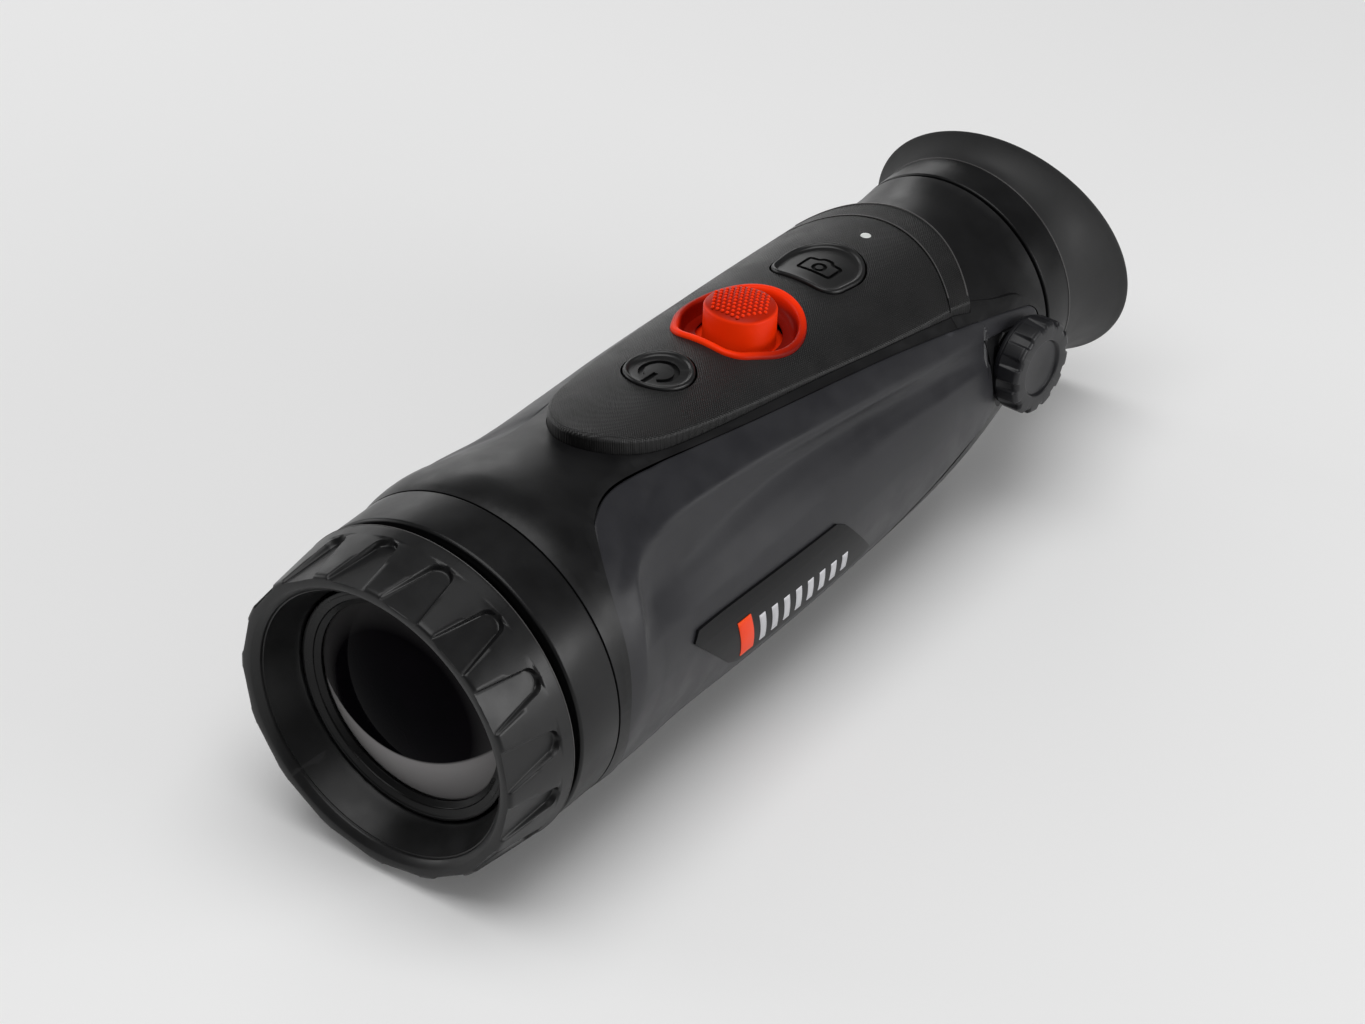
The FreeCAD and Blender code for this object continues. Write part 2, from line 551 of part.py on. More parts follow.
# --- control panel ---------------------------------------------------------------------------
def make_panel():
    panel = panel_shell(PANEL_CROWN - PANEL_THICK, PANEL_CROWN)
    panel = panel.makeFillet(PANEL_ROUND, crown_edges(panel))
    panel = on_panel(panel.cut([under_lip(PANEL_CROWN - PANEL_LIP, LIP_START), seam()]))
    holes = [flat_prism(power_wire(0.4), -6, 6), flat_prism(camera_wire(0.4), -6, 6),
             flat_prism(power_wire(1.5), -9, -3.6), flat_prism(camera_wire(1.5), -9, -3.6),
             flat_prism(bezel_wire(0.05), -9, 6), rod_up(LED_RADIUS, -6, 6, LED_STATION)]
    bosses = [rod_up(2.0, BOARD_TOP, -2.6, station, x) for x, station in PANEL_SCREWS]
    panel = panel.cut([on_panel(hole) for hole in holes]).fuse([on_panel(boss) for boss in bosses])
    drills = [on_panel(rod_up(0.9, -9, -4, station, x)) for x, station in PANEL_SCREWS]
    save("control_panel", panel.cut(drills))
    screws = [on_panel(rod_up(0.85, -9.2, -4.1, station, x).fuse(rod_up(1.7, -10.2, -9.2, station, x)))
              for x, station in PANEL_SCREWS]
    save("keypad_screws", *screws)
    save("status_led", on_panel(rod_up(LED_RADIUS - 0.02, BOARD_TOP, 0.1, LED_STATION)))


def key(wire_of, station):
    """A soft key: cap, flange under the panel and a stub over its switch."""
    cap = flat_prism(wire_of(0.0), -3.8, -0.1)
    flange = flat_prism(wire_of(1.1), -4.6, -3.75)
    stub = rod_up(1.8, -5.3, -4.5, station)
    return on_panel(cap.fuse([flange, stub]).removeSplitter())


def make_keys():
    save("power_key", key(power_wire, POWER_STATION))
    save("camera_key", key(camera_wire, CAMERA_CENTRE))
    switches = [on_panel(block(-3, 3, s - 3, s + 3, BOARD_TOP, -6.5).fuse(rod_up(1.5, -6.5, -5.9, s)))
                for s in (POWER_STATION, CAMERA_CENTRE)]
    save("tact_switches", *[switch.removeSplitter() for switch in switches])
    board = block(-11, 11, 79, 161, BOARD_TOP - 1.2, BOARD_TOP).cut(rod_up(4.2, -12, 0, JOY_STATION))
    board = board.cut([rod_up(0.9, -12, 0, station, x) for x, station in PANEL_SCREWS])
    save("keypad_board", on_panel(board))


def make_joystick():
    crown = Part.makeCylinder(PANEL_CROWN + BEZEL_PROUD, 60, V(0, 85, -PANEL_CROWN), ALONG)
    rim = flat_prism(bezel_wire(), -4.4, 4).common(crown)
    levels = ((-2.2, 1.2), (-3.0, -1.0), (-4.0, -3.4))
    bowl = Part.makeLoft([bezel_wire(grow).translated(V(0, 0, z)) for grow, z in levels], True, True)
    bore = rod_up(JOY_RADIUS + 1.3, -6, 2, JOY_STATION)
    save("joystick_bezel", on_panel(rim.cut([bowl, bore])))
    column = rod_up(JOY_RADIUS, -5.5, JOY_TOP, JOY_STATION)
    column = column.makeFillet(1.2, [e for e in column.Edges if e.BoundBox.ZMin > JOY_TOP - 0.1])
    flange = rod_up(9.3, -6.4, -5.4, JOY_STATION)
    stem = rod_up(1.8, -10.5, -4.0, JOY_STATION)
    save("joystick_cap", on_panel(column.fuse(flange).removeSplitter().cut(stem)))
    hub = rod_up(2.7, JOY_PIVOT - 1.2, JOY_PIVOT + 1.5, JOY_STATION)
    trunnion = disc(0.7, JOY_STATION - 4.3, JOY_STATION + 4.3, 0, JOY_PIVOT)
    save("joystick_stem", on_panel(stem.fuse([hub, trunnion]).removeSplitter()))
    make_gimbal()


def make_gimbal():
    low, high = JOY_PIVOT - 0.9, JOY_PIVOT + 0.9
    gimbal = rod_up(4.6, low, high, JOY_STATION).cut(rod_up(3.6, low - 1, high + 1, JOY_STATION))
    ends = [rod_across(0.7, x, x + 1.9, JOY_STATION, JOY_PIVOT) for x in (-6.1, 4.2)]
    pin_bore = disc(0.76, JOY_STATION - 6, JOY_STATION + 6, 0, JOY_PIVOT)
    gimbal = gimbal.fuse(ends).removeSplitter().cut(pin_bore)
    save("joystick_gimbal", on_panel(gimbal))
    carrier = rod_up(6.3, JOY_PIVOT - 1.7, JOY_PIVOT + 1.7, JOY_STATION)
    carrier = carrier.cut([rod_up(5.2, JOY_PIVOT - 2, JOY_PIVOT + 2, JOY_STATION),
                           rod_across(0.76, -8, 8, JOY_STATION, JOY_PIVOT)])
    save("joystick_carrier", on_panel(carrier))
    base = block(-8.5, 8.5, JOY_STATION - 8.5, JOY_STATION + 8.5, JOY_PIVOT - 3.6, BOARD_TOP - 1.2)
    save("joystick_base", on_panel(base.cut(rod_up(6.6, JOY_PIVOT - 2.6, 0, JOY_STATION))))


# --- eyepiece ---------------------------------------------------------------------------------
def lip_circle(radius, share):
    """A circle between the collar (share 0) and the slanted lip (share 1)."""
    station = COLLAR_REAR + share * (LIP_STATION - COLLAR_REAR)
    normal = V(-LIP_ACROSS * share, 1, -LIP_UP * share).normalize()
    return Part.Wire(Part.makeCircle(radius, V(0, station, 0), normal))


def make_eyepiece():
    collar = turned([(25.4, COLLAR_FRONT), (COLLAR_R, COLLAR_FRONT + 0.4), (COLLAR_R, COLLAR_REAR - 0.4),
                     (25.4, COLLAR_REAR), (SPIGOT_R, COLLAR_REAR), (SPIGOT_R, SPIGOT_REAR),
                     (EYE_BORE_R, SPIGOT_REAR), (EYE_BORE_R, 183.6), (19.6, 183.6), (19.6, COLLAR_FRONT)])
    save("eyepiece_collar", collar.cut(diopter_room()))
    save("eyepiece_cell", turned([(12.6, 160.0), (EYE_CELL_R, 160.0), (EYE_CELL_R, 201.0),
                                  (13.6, 201.0), (13.6, 192.0), (12.6, 191.0), (12.6, 170.2),
                                  (13.6, 170.2), (13.6, 163.0), (12.6, 163.0)]))
    save("eye_field_lens", lens(13.55, 165.0, 169.0, 60.0, 30.0))
    save("eye_lens", lens(13.55, 193.6, 196.0, 60.0, 38.0))
    save("eyepiece_retainer", tube(13.6, 12.0, 199.0, 200.6))
    neck_front = COLLAR_REAR + 0.3
    outer = Part.makeLoft([lip_circle(25.3, 0.03), lip_circle(25.7, 0.35), lip_circle(27.2, 0.72),
                           lip_circle(LIP_R, 1.0)], True, False)
    inside = ((24.3, 0.52), (25.6, 0.76), (LIP_R - 1.3, 1.01))
    inner = Part.makeLoft([lip_circle(radius, share) for radius, share in inside], True, False)
    cup = outer.cut([disc(40, 190, neck_front), disc(SPIGOT_R + 0.08, 190, 220), inner,
                     disc(24.3, 204.7, 206.9)])
    save("eyecup", cup)
    save("eyecup_retainer", tube(23.6, EYE_BORE_R + 0.6, SPIGOT_REAR, SPIGOT_REAR + 1.2))


def diopter_room():
    return block(10, 22, 160, 186.2, -6, 9)


def pinion():
    """A small gear on the knob's shaft, with straight-sided teeth."""
    root, tip = PITCH_R - 0.9, PITCH_R + 0.65
    tooth_outline = [V(0, -0.62, root - 0.3), V(0, 0.62, root - 0.3), V(0, 0.26, tip), V(0, -0.26, tip),
                     V(0, -0.62, root - 0.3)]
    tooth = Part.Face(Part.makePolygon(tooth_outline)).extrude(ACROSS * 3.2)
    gear = Part.makeCylinder(root, 3.2, V(0, 0, 0), ACROSS)
    teeth = []
    for k in range(TEETH):
        one = tooth.copy()
        one.rotate(V(0, 0, 0), ACROSS, k * 360 / TEETH)
        teeth.append(one)
    gear = gear.fuse(teeth)
    gear.translate(V(15.9, KNOB_STATION, 0))
    return gear


def rack():
    pitch = math.pi * MODULE
    root, tip = PITCH_R + 1.1, PITCH_R - 0.6
    bar = block(12, 19.3, 169.4, 182.6, PITCH_R + 1.0, PITCH_R + 3.4)
    teeth = []
    for k in (-2.5, -1.5, -0.5, 0.5, 1.5, 2.5):
        station = KNOB_STATION + k * pitch
        outline = [V(15.9, station - 0.62, root), V(15.9, station + 0.62, root), V(15.9, station + 0.24, tip),
                   V(15.9, station - 0.24, tip), V(15.9, station - 0.62, root)]
        teeth.append(Part.Face(Part.makePolygon(outline)).extrude(ACROSS * 3.2))
    return bar.fuse(teeth).removeSplitter().cut(disc(EYE_CELL_R, 150, 200))


def make_diopter():
    save("diopter_rack", rack())
    shaft = rod_across(SHAFT_R, 19.0, 31.0, KNOB_STATION, 0).fuse(pinion()).removeSplitter()
    save("diopter_shaft", shaft)
    shaft_bore = rod_across(SHAFT_R + 0.06, 15, 30, KNOB_STATION, 0)
    bush = rod_across(4.0, 20.6, 27.1, KNOB_STATION, 0).cut(shaft_bore)
    save("knob_bush", bush)
    grip = rod_across(KNOB_R, KNOB_IN, KNOB_OUT, KNOB_STATION, 0)
    grip = grip.cut([rod_across(5.6, KNOB_OUT - 0.8, KNOB_OUT + 1, KNOB_STATION, 0),
                     rod_across(SHAFT_R, KNOB_IN - 1, 31.0, KNOB_STATION, 0)])
    notch = block(KNOB_OUT - 4.6, KNOB_OUT + 1, -1.0, 1.0, KNOB_R - 0.7, KNOB_R + 2)
    notches = []
    for k in range(12):
        one = notch.copy()
        one.rotate(V(0, 0, 0), ACROSS, k * 30)
        one.translate(V(0, KNOB_STATION, 0))
        notches.append(one)
    save("diopter_knob", grip.cut(notches))


def main():
    skin = stack(BODY)
    given, rail = make_sides(skin)
    make_housing(skin, given, rail)
    make_underside()
    make_strap_lug()
    make_focus_ring()
    make_focus_drive()
    make_front_barrel()
    make_objective()
    make_core()
    make_electronics()
    make_panel()
    make_keys()
    make_joystick()
    make_eyepiece()
    make_diopter()


main()
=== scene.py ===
"""Looks of the thermal imaging camera: detailed meshes, materials, lights and the camera.

Lengths in this script are millimetres about the optical axis, as (x, station, height): x is
across, station is the distance behind the front rim and height is over the axis. at() turns
them into the frame's metres.
"""
import json
import math

import bmesh
import bpy
from mathutils import Matrix, Vector


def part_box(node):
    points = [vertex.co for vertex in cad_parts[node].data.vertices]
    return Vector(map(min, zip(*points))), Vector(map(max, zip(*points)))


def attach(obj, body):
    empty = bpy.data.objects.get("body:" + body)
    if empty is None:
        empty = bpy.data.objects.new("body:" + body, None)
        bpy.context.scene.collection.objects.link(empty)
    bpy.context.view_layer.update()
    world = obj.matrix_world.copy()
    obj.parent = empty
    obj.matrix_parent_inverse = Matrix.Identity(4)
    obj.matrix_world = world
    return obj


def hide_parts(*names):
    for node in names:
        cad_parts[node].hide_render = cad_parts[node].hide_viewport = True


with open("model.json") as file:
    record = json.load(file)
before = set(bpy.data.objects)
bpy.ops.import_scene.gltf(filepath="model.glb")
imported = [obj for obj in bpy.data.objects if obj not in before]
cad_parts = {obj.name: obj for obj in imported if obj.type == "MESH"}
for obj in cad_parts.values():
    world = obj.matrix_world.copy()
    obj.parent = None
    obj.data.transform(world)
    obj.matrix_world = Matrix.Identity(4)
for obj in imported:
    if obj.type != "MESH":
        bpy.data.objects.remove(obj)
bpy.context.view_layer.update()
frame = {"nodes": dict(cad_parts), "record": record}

MM = 0.001
RING_LOW, RING_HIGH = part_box("focus_ring")
FRONT_Y = RING_LOW.y
AXIS_Z = (RING_LOW.z + RING_HIGH.z) / 2
# control panel: where its plane passes, its slope, its crown's radius, and the places of its parts
PANEL_STATION, PANEL_HEIGHT, PANEL_SLOPE = 87.5, 33.6, math.radians(4.07)
PANEL_CROWN = 32.0
POWER_STATION, JOY_STATION, CAMERA_CENTRE, LED_STATION = 88.8, 115.5, 143.6, 159.3
JOY_R, JOY_TOP = 7.5, 4.0
DOME = 0.0175                   # fall of the stick's domed top, in millimetres per millimetre squared


def at(x, station, height):
    """A point about the optical axis, in the frame's metres."""
    return Vector((x * MM, FRONT_Y + station * MM, AXIS_Z + height * MM))


def panel_at(x, station, height):
    """A point over the sloping panel's centre line, in the frame's metres."""
    along, lift = math.cos(PANEL_SLOPE), math.sin(PANEL_SLOPE)
    reach = station - PANEL_STATION
    return at(x, PANEL_STATION + reach * along + height * lift, PANEL_HEIGHT - reach * lift + height * along)


def polar(radius, station, angle):
    """A point at an angle (radians from +X towards +Z) round the optical axis."""
    return at(radius * math.cos(angle), station, radius * math.sin(angle))


def smooth(value, low=0.0, high=1.0):
    """A smooth step from 0 at low to 1 at high."""
    share = min(1.0, max(0.0, (value - low) / (high - low)))
    return share * share * (3 - 2 * share)


# --- materials ----------------------------------------------------------------------------
class Nodes:
    """Builds one procedural material."""

    def __init__(self, name):
        self.material = bpy.data.materials.new(name)
        self.material.use_nodes = True
        self.tree = self.material.node_tree
        self.shader = self.tree.nodes["Principled BSDF"]
        self.place = self.add("ShaderNodeTexCoord").outputs["Object"]

    def add(self, kind, **values):
        node = self.tree.nodes.new(kind)
        for key, value in values.items():
            setattr(node, key, value)
        return node

    def link(self, source, target):
        self.tree.links.new(source, target)

    def noise(self, scale, detail=3.0, stretch=(1, 1, 1)):
        """Noise with features of about 1 / scale metres."""
        mapping = self.add("ShaderNodeMapping")
        mapping.inputs["Scale"].default_value = stretch
        self.link(self.place, mapping.inputs["Vector"])
        noise = self.add("ShaderNodeTexNoise")
        noise.inputs["Scale"].default_value = scale
        noise.inputs["Detail"].default_value = detail
        self.link(mapping.outputs["Vector"], noise.inputs["Vector"])
        return noise.outputs["Fac"]

    def ramp(self, factor, low, high, start=0.35, stop=0.65):
        """A number from low to high as factor goes from start to stop."""
        node = self.add("ShaderNodeMapRange")
        node.inputs["From Min"].default_value = start
        node.inputs["From Max"].default_value = stop
        node.inputs["To Min"].default_value = low
        node.inputs["To Max"].default_value = high
        self.link(factor, node.inputs["Value"])
        return node.outputs["Result"]

    def blend(self, factor, first, second):
        """A colour between two, by factor."""
        node = self.add("ShaderNodeMix", data_type="RGBA")
        for socket, value in ((node.inputs[6], first), (node.inputs[7], second)):
            if isinstance(value, tuple):
                socket.default_value = (*value, 1)
            else:
                self.link(value, socket)
        self.link(factor, node.inputs[0])
        return node.outputs[2]

    def math(self, operation, first, second=None):
        node = self.add("ShaderNodeMath", operation=operation)
        for socket, value in zip(node.inputs, (first, second)):
            if isinstance(value, (int, float)):
                socket.default_value = value
            elif value is not None:
                self.link(value, socket)
        return node.outputs[0]

    def vector(self, operation, first, second):
        node = self.add("ShaderNodeVectorMath", operation=operation)
        self.link(first, node.inputs[0])
        node.inputs[1].default_value = second
        return node.outputs["Value" if operation in ("DISTANCE", "DOT_PRODUCT") else "Vector"]

    def bump(self, height, distance, strength=1.0, under=None):
        """Relief of about distance millimetres; under is another bump's normal."""
        node = self.add("ShaderNodeBump")
        node.inputs["Distance"].default_value = distance * MM
        node.inputs["Strength"].default_value = strength
        self.link(height, node.inputs["Height"])
        if under is not None:
            self.link(under, node.inputs["Normal"])
        return node.outputs["Normal"]

    def set(self, **values):
        for key, value in values.items():
            socket = self.shader.inputs[key.replace("_", " ")]
            if isinstance(value, tuple):
                socket.default_value = (*value, 1)
            elif isinstance(value, (int, float)):
                socket.default_value = value
            else:
                self.link(value, socket)
        return self


def edge_highlight_paint(nodes, base, painted_edge_light, start=0.53, stop=0.62):
    """A painted highlight: a slightly lighter colour along convex edges."""
    point = nodes.add("ShaderNodeNewGeometry").outputs["Pointiness"]
    return nodes.blend(nodes.ramp(point, 0.0, 1.0, start, stop), base, painted_edge_light)


def moulded(name, colour, lighter, rough, grain=0.35, depth=0.02, specular=0.4, sheen=0.0):
    """Moulded plastic or rubber: fine grain of that size in millimetres, soft mottling, and a painted
    highlight along convex edges.
    """
    nodes = Nodes(name)
    mottle = nodes.noise(140.0, 4.0)
    base = nodes.blend(nodes.ramp(mottle, 0.0, 1.0), colour, lighter)
    fine = nodes.noise(1000.0 / grain, 2.0)
    finer = nodes.noise(3000.0 / grain, 1.0)
    normal = nodes.bump(finer, depth * 0.4, 0.6, nodes.bump(fine, depth, 0.7))
    # convex edges are painted lighter: a painted highlight
    painted_edge_light = tuple(min(1.0, channel * 1.6 + 0.006) for channel in lighter)
    nodes.set(Base_Color=edge_highlight_paint(nodes, base, painted_edge_light), Normal=normal,
              Roughness=nodes.ramp(mottle, rough - 0.04, rough + 0.05))
    nodes.shader.inputs["Specular IOR Level"].default_value = specular
    nodes.shader.inputs["Sheen Weight"].default_value = sheen
    nodes.shader.inputs["Sheen Roughness"].default_value = 0.5
    return nodes.material


def woven(name, colour, lighter, rough):
    """The control panel's fine woven relief: two crossed sets of ribs in a checker, with a painted highlight
    on the ribs' tops.
    """
    nodes = Nodes(name)
    split = nodes.add("ShaderNodeSeparateXYZ")
    nodes.link(nodes.place, split.inputs[0])
    pitch = 2 * math.pi / (0.62 * MM)
    across = nodes.math("MULTIPLY", split.outputs["X"], pitch)
    along = nodes.math("MULTIPLY", split.outputs["Y"], pitch)
    weave = nodes.math("MULTIPLY", nodes.math("SINE", across), nodes.math("SINE", along))
    height = nodes.math("MULTIPLY_ADD", weave, 0.5)
    nodes.tree.nodes[-1].inputs[2].default_value = 0.5
    mottle = nodes.noise(160.0, 4.0)
    base = nodes.blend(nodes.ramp(mottle, 0.0, 1.0), colour, lighter)
    # painted highlight: the ribs' raised tops get a lighter colour
    rib_top_highlight = tuple(channel * 1.5 for channel in lighter)
    base = nodes.blend(nodes.ramp(height, 0.0, 0.6, 0.5, 1.0), base, rib_top_highlight)
    normal = nodes.bump(nodes.noise(6000.0, 1.0), 0.006, 0.6, nodes.bump(height, 0.09, 1.0))
    nodes.set(Base_Color=base, Roughness=nodes.ramp(mottle, rough - 0.04, rough + 0.05), Normal=normal)
    nodes.shader.inputs["Specular IOR Level"].default_value = 0.34
    return nodes.material


def metal(name, colour, rough, streak=(1, 1, 1)):
    """Machined or drawn metal with fine streaks."""
    nodes = Nodes(name)
    lines = nodes.noise(900.0, 4.0, streak)
    darker = tuple(channel * 0.8 for channel in colour)
    nodes.set(Base_Color=nodes.blend(nodes.ramp(lines, 0.0, 1.0), darker, colour), Metallic=1.0,
              Roughness=nodes.ramp(lines, rough - 0.06, rough + 0.08), Normal=nodes.bump(lines, 0.006, 0.5))
    return nodes.material


def glossy(name, colour, rough=0.08, specular=0.5, coat=0.0, tint=None, metallic=0.0):
    """A polished surface with faint cleaning haze."""
    nodes = Nodes(name)
    haze = nodes.noise(60.0, 5.0)
    second = tint if tint else tuple(channel * 1.25 for channel in colour)
    nodes.set(Base_Color=nodes.blend(nodes.ramp(haze, 0.0, 1.0), colour, second), Metallic=metallic,
              Roughness=nodes.ramp(haze, rough, rough + 0.03))
    nodes.shader.inputs["Specular IOR Level"].default_value = specular
    nodes.shader.inputs["Coat Weight"].default_value = coat
    nodes.shader.inputs["Coat Roughness"].default_value = 0.03
    return nodes.material


def lens_glass_painted_glint(name):
    """Coated infrared glass: nearly black, with painted reflections in its colour: a pale crescent of glint
    low in it and a faint lighter ring towards its edge.
    """
    nodes = Nodes(name)
    haze = nodes.noise(60.0, 5.0)
    dark = nodes.blend(nodes.ramp(haze, 0.0, 1.0), (0.0012, 0.0012, 0.0018), (0.003, 0.002, 0.0035))
    across = nodes.vector("MULTIPLY", nodes.place, (1.0, 0.0, 1.0))
    away = nodes.vector("DISTANCE", across, (-0.002, 0.0, AXIS_Z + 0.022))
    # painted reflection: a pale crescent of glint low in the glass
    crescent = nodes.math("MULTIPLY", nodes.ramp(away, 0.0, 1.0, 0.0322, 0.0328),
                          nodes.ramp(away, 1.0, 0.55, 0.034, 0.0445))
    # painted reflection: a faint lighter ring towards the glass's edge
    rim = nodes.ramp(nodes.vector("DISTANCE", across, (0.0, 0.0, AXIS_Z)), 0.0, 0.2, 0.0165, 0.0215)
    nodes.set(Base_Color=nodes.blend(nodes.math("MAXIMUM", crescent, rim), dark, (0.27, 0.262, 0.262)),
              Roughness=nodes.ramp(haze, 0.03, 0.05))
    nodes.shader.inputs["Specular IOR Level"].default_value = 0.012
    return nodes.material


def orange_with_painted_shade(name, depth_of):
    """The orange plastic with painted shade: darker where depth_of says that it lies low."""
    nodes = Nodes(name)
    mottle = nodes.noise(140.0, 4.0)
    base = nodes.blend(nodes.ramp(mottle, 0.0, 1.0), (0.93, 0.031, 0.0006), (0.98, 0.038, 0.0008))
    # painted shade: dark red where the mask says the surface lies low
    base = nodes.blend(depth_of(nodes), (0.20, 0.004, 0.0003), base)
    nodes.set(Base_Color=base, Roughness=nodes.ramp(mottle, 0.36, 0.45),
              Normal=nodes.bump(nodes.noise(4000.0, 2.0), 0.008, 0.7))
    nodes.shader.inputs["Specular IOR Level"].default_value = 0.1
    return nodes.material


def panel_height(nodes):
    """Height over the panel's plane, in metres."""
    up = nodes.vector("DOT_PRODUCT", nodes.place, (0.0, math.sin(PANEL_SLOPE), math.cos(PANEL_SLOPE)))
    base = at(0, PANEL_STATION, PANEL_HEIGHT)
    level = base.y * math.sin(PANEL_SLOPE) + base.z * math.cos(PANEL_SLOPE)
    return nodes.math("SUBTRACT", up, level)


def bowl_painted_shade_mask(nodes):
    """Mask of the bowl's painted shade: 0 in the bowl under the joystick's surround, 1 on its rim."""
    return nodes.ramp(panel_height(nodes), 0.0, 1.0, -0.0022, 0.0003)


def stud_painted_shade_mask(nodes):
    """Mask of the painted shade on the stick: 0 between the studs on its domed top, 1 on their tips and down
    its side.
    """
    away = nodes.vector("DISTANCE", nodes.place, panel_at(0, JOY_STATION, 0))
    height = panel_height(nodes)
    spread = nodes.math("SUBTRACT", nodes.math("POWER", away, 2.0), nodes.math("POWER", height, 2.0))
    over_dome = nodes.math("ADD", nodes.math("SUBTRACT", height, JOY_TOP * MM),
                           nodes.math("MULTIPLY", spread, DOME / MM))
    between = nodes.ramp(over_dome, 0.25, 1.0, 0.0, 0.0003)
    side = nodes.ramp(over_dome, 0.85, 0.0, -0.0006, -0.0001)
    return nodes.math("MAXIMUM", between, side)


def clear(name, colour, rough=0.02):
    """Clear coated glass."""
    nodes = Nodes(name)
    haze = nodes.noise(50.0, 4.0)
    nodes.set(Base_Color=nodes.blend(nodes.ramp(haze, 0.0, 1.0), colour, tuple(c * 0.97 for c in colour)),
              Roughness=nodes.ramp(haze, rough, rough + 0.02))
    nodes.shader.inputs["Transmission Weight"].default_value = 1.0
    nodes.shader.inputs["IOR"].default_value = 1.52
    nodes.shader.inputs["Coat Weight"].default_value = 0.3
    return nodes.material


def make_materials():
    black = (0.0030, 0.0030, 0.0033)
    return {
        "housing": moulded("housing_plastic", black, (0.0046, 0.0046, 0.005), 0.34, 0.30, 0.010, 0.26),
        "panel": woven("panel_weave", (0.0036, 0.0036, 0.0038), (0.0062, 0.006, 0.006), 0.40),
        "grip": moulded("grip_soft_touch", (0.0105, 0.0105, 0.0132), (0.0135, 0.0135, 0.0165), 0.40, 0.22,
                        0.010, 0.34, 0.05),
        "ring": moulded("ring_rubber", (0.0036, 0.0036, 0.0039), (0.0056, 0.0056, 0.006), 0.36, 0.30,
                        0.010, 0.34),
        "anodised": moulded("anodised_black", (0.0016, 0.0016, 0.0018), (0.0028, 0.0028, 0.003), 0.30, 0.12,
                            0.004, 0.22),
        "orange": moulded("orange_plastic", (0.72, 0.022, 0.0008), (0.78, 0.03, 0.001), 0.40, 0.25,
                          0.008, 0.22),
        "bowl_orange_painted_shade": orange_with_painted_shade("bowl_orange_painted_shade", bowl_painted_shade_mask),
        "stud_orange_painted_shade": orange_with_painted_shade("stud_orange_painted_shade", stud_painted_shade_mask),
        # a pale colour for thin beads: painted edge highlights
        "painted_highlight_edge": moulded("painted_highlight_edge", (0.045, 0.043, 0.043), (0.06, 0.058, 0.058), 0.34, 0.25,
                             0.006, 0.4),
        "keys": moulded("key_rubber", (0.0034, 0.0034, 0.0036), (0.0055, 0.0055, 0.0057), 0.34, 0.25,
                        0.008, 0.4),
        "badge": glossy("badge_black", (0.0040, 0.0040, 0.0045), 0.34, 0.12),
        "inlay_orange": moulded("inlay_orange", (0.90, 0.04, 0.001), (0.95, 0.05, 0.002), 0.35, 0.3,
                                0.003, 0.15),
        "inlay_grey": moulded("inlay_grey", (0.42, 0.42, 0.44), (0.52, 0.52, 0.54), 0.35, 0.3, 0.003, 0.3),
        "eyecup": moulded("eyecup_rubber", (0.0105, 0.0105, 0.0108), (0.0150, 0.0150, 0.0154), 0.55, 0.35,
                          0.014, 0.32, 0.05),
        "seal": moulded("seal_rubber", (0.003, 0.003, 0.003), (0.005, 0.005, 0.005), 0.5, 0.4, 0.01),
        "germanium": lens_glass_painted_glint("germanium_painted_glint"),
        "eye_glass": clear("eye_glass", (0.86, 0.90, 0.97)),
        "knob": moulded("knob_plastic", (0.0075, 0.0075, 0.009), (0.0105, 0.0105, 0.012), 0.36, 0.25,
                        0.01, 0.3),
        "steel": metal("drawn_steel", (0.56, 0.56, 0.57), 0.30),
        "brass": metal("turned_brass", (0.78, 0.57, 0.25), 0.28),
        "board": moulded("solder_mask", (0.01, 0.09, 0.035), (0.015, 0.12, 0.05), 0.35, 0.5, 0.01),
        "chips": moulded("chip_epoxy", (0.012, 0.012, 0.012), (0.02, 0.02, 0.02), 0.45, 0.2, 0.01),
        "cells": moulded("cell_sleeve", (0.02, 0.10, 0.30), (0.03, 0.13, 0.36), 0.28, 0.5, 0.004),
        "frame_plastic": moulded("frame_plastic", (0.016, 0.016, 0.017), (0.022, 0.022, 0.023), 0.48, 0.3,
                                 0.012),
        "light_guide": glossy("light_guide", (0.62, 0.64, 0.62), 0.25, 0.5),
        "core_metal": metal("machined_aluminium", (0.62, 0.62, 0.64), 0.34),
    }


MATERIALS = make_materials()


def dress_frame():
    """Every CAD node gets its slot's material."""
    for sub in frame["record"]["subparts"]:
        node = frame["nodes"][sub["node"]]
        node.data.materials.clear()
        node.data.materials.append(MATERIALS[sub["material_slot"]])


# --- mesh helpers -----------------------------------------------------------------------------
def new_object(name, vertices, faces, slot, body, replaced=(), sharp=35.0, material=None):
    """A piece from vertices and faces, smooth shaded except over sharp edges."""
    mesh = bpy.data.meshes.new(name)
    mesh.from_pydata([tuple(v) for v in vertices], [], faces)
    mesh.validate()
    work = bmesh.new()
    work.from_mesh(mesh)
    bmesh.ops.remove_doubles(work, verts=work.verts, dist=1e-7)
    bmesh.ops.recalc_face_normals(work, faces=work.faces)
    work.to_mesh(mesh)
    work.free()
    mesh.shade_smooth()
    mesh.set_sharp_from_angle(angle=math.radians(sharp))
    mesh.materials.clear()
    mesh.materials.append(MATERIALS[material or slot])
    piece = bpy.data.objects.new(name, mesh)
    bpy.context.scene.collection.objects.link(piece)
    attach(piece, body)
    if replaced:
        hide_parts(*replaced)
    return piece


def grid_faces(rows, columns, wrap_rows=False, wrap_columns=False):
    """Quads over a grid of vertices stored row by row."""
    faces = []
    for i in range(rows if wrap_rows else rows - 1):
        for j in range(columns if wrap_columns else columns - 1):
            a, b = i * columns + j, i * columns + (j + 1) % columns
            below = ((i + 1) % rows) * columns
            faces.append((a, b, below + (j + 1) % columns, below + j))
    return faces


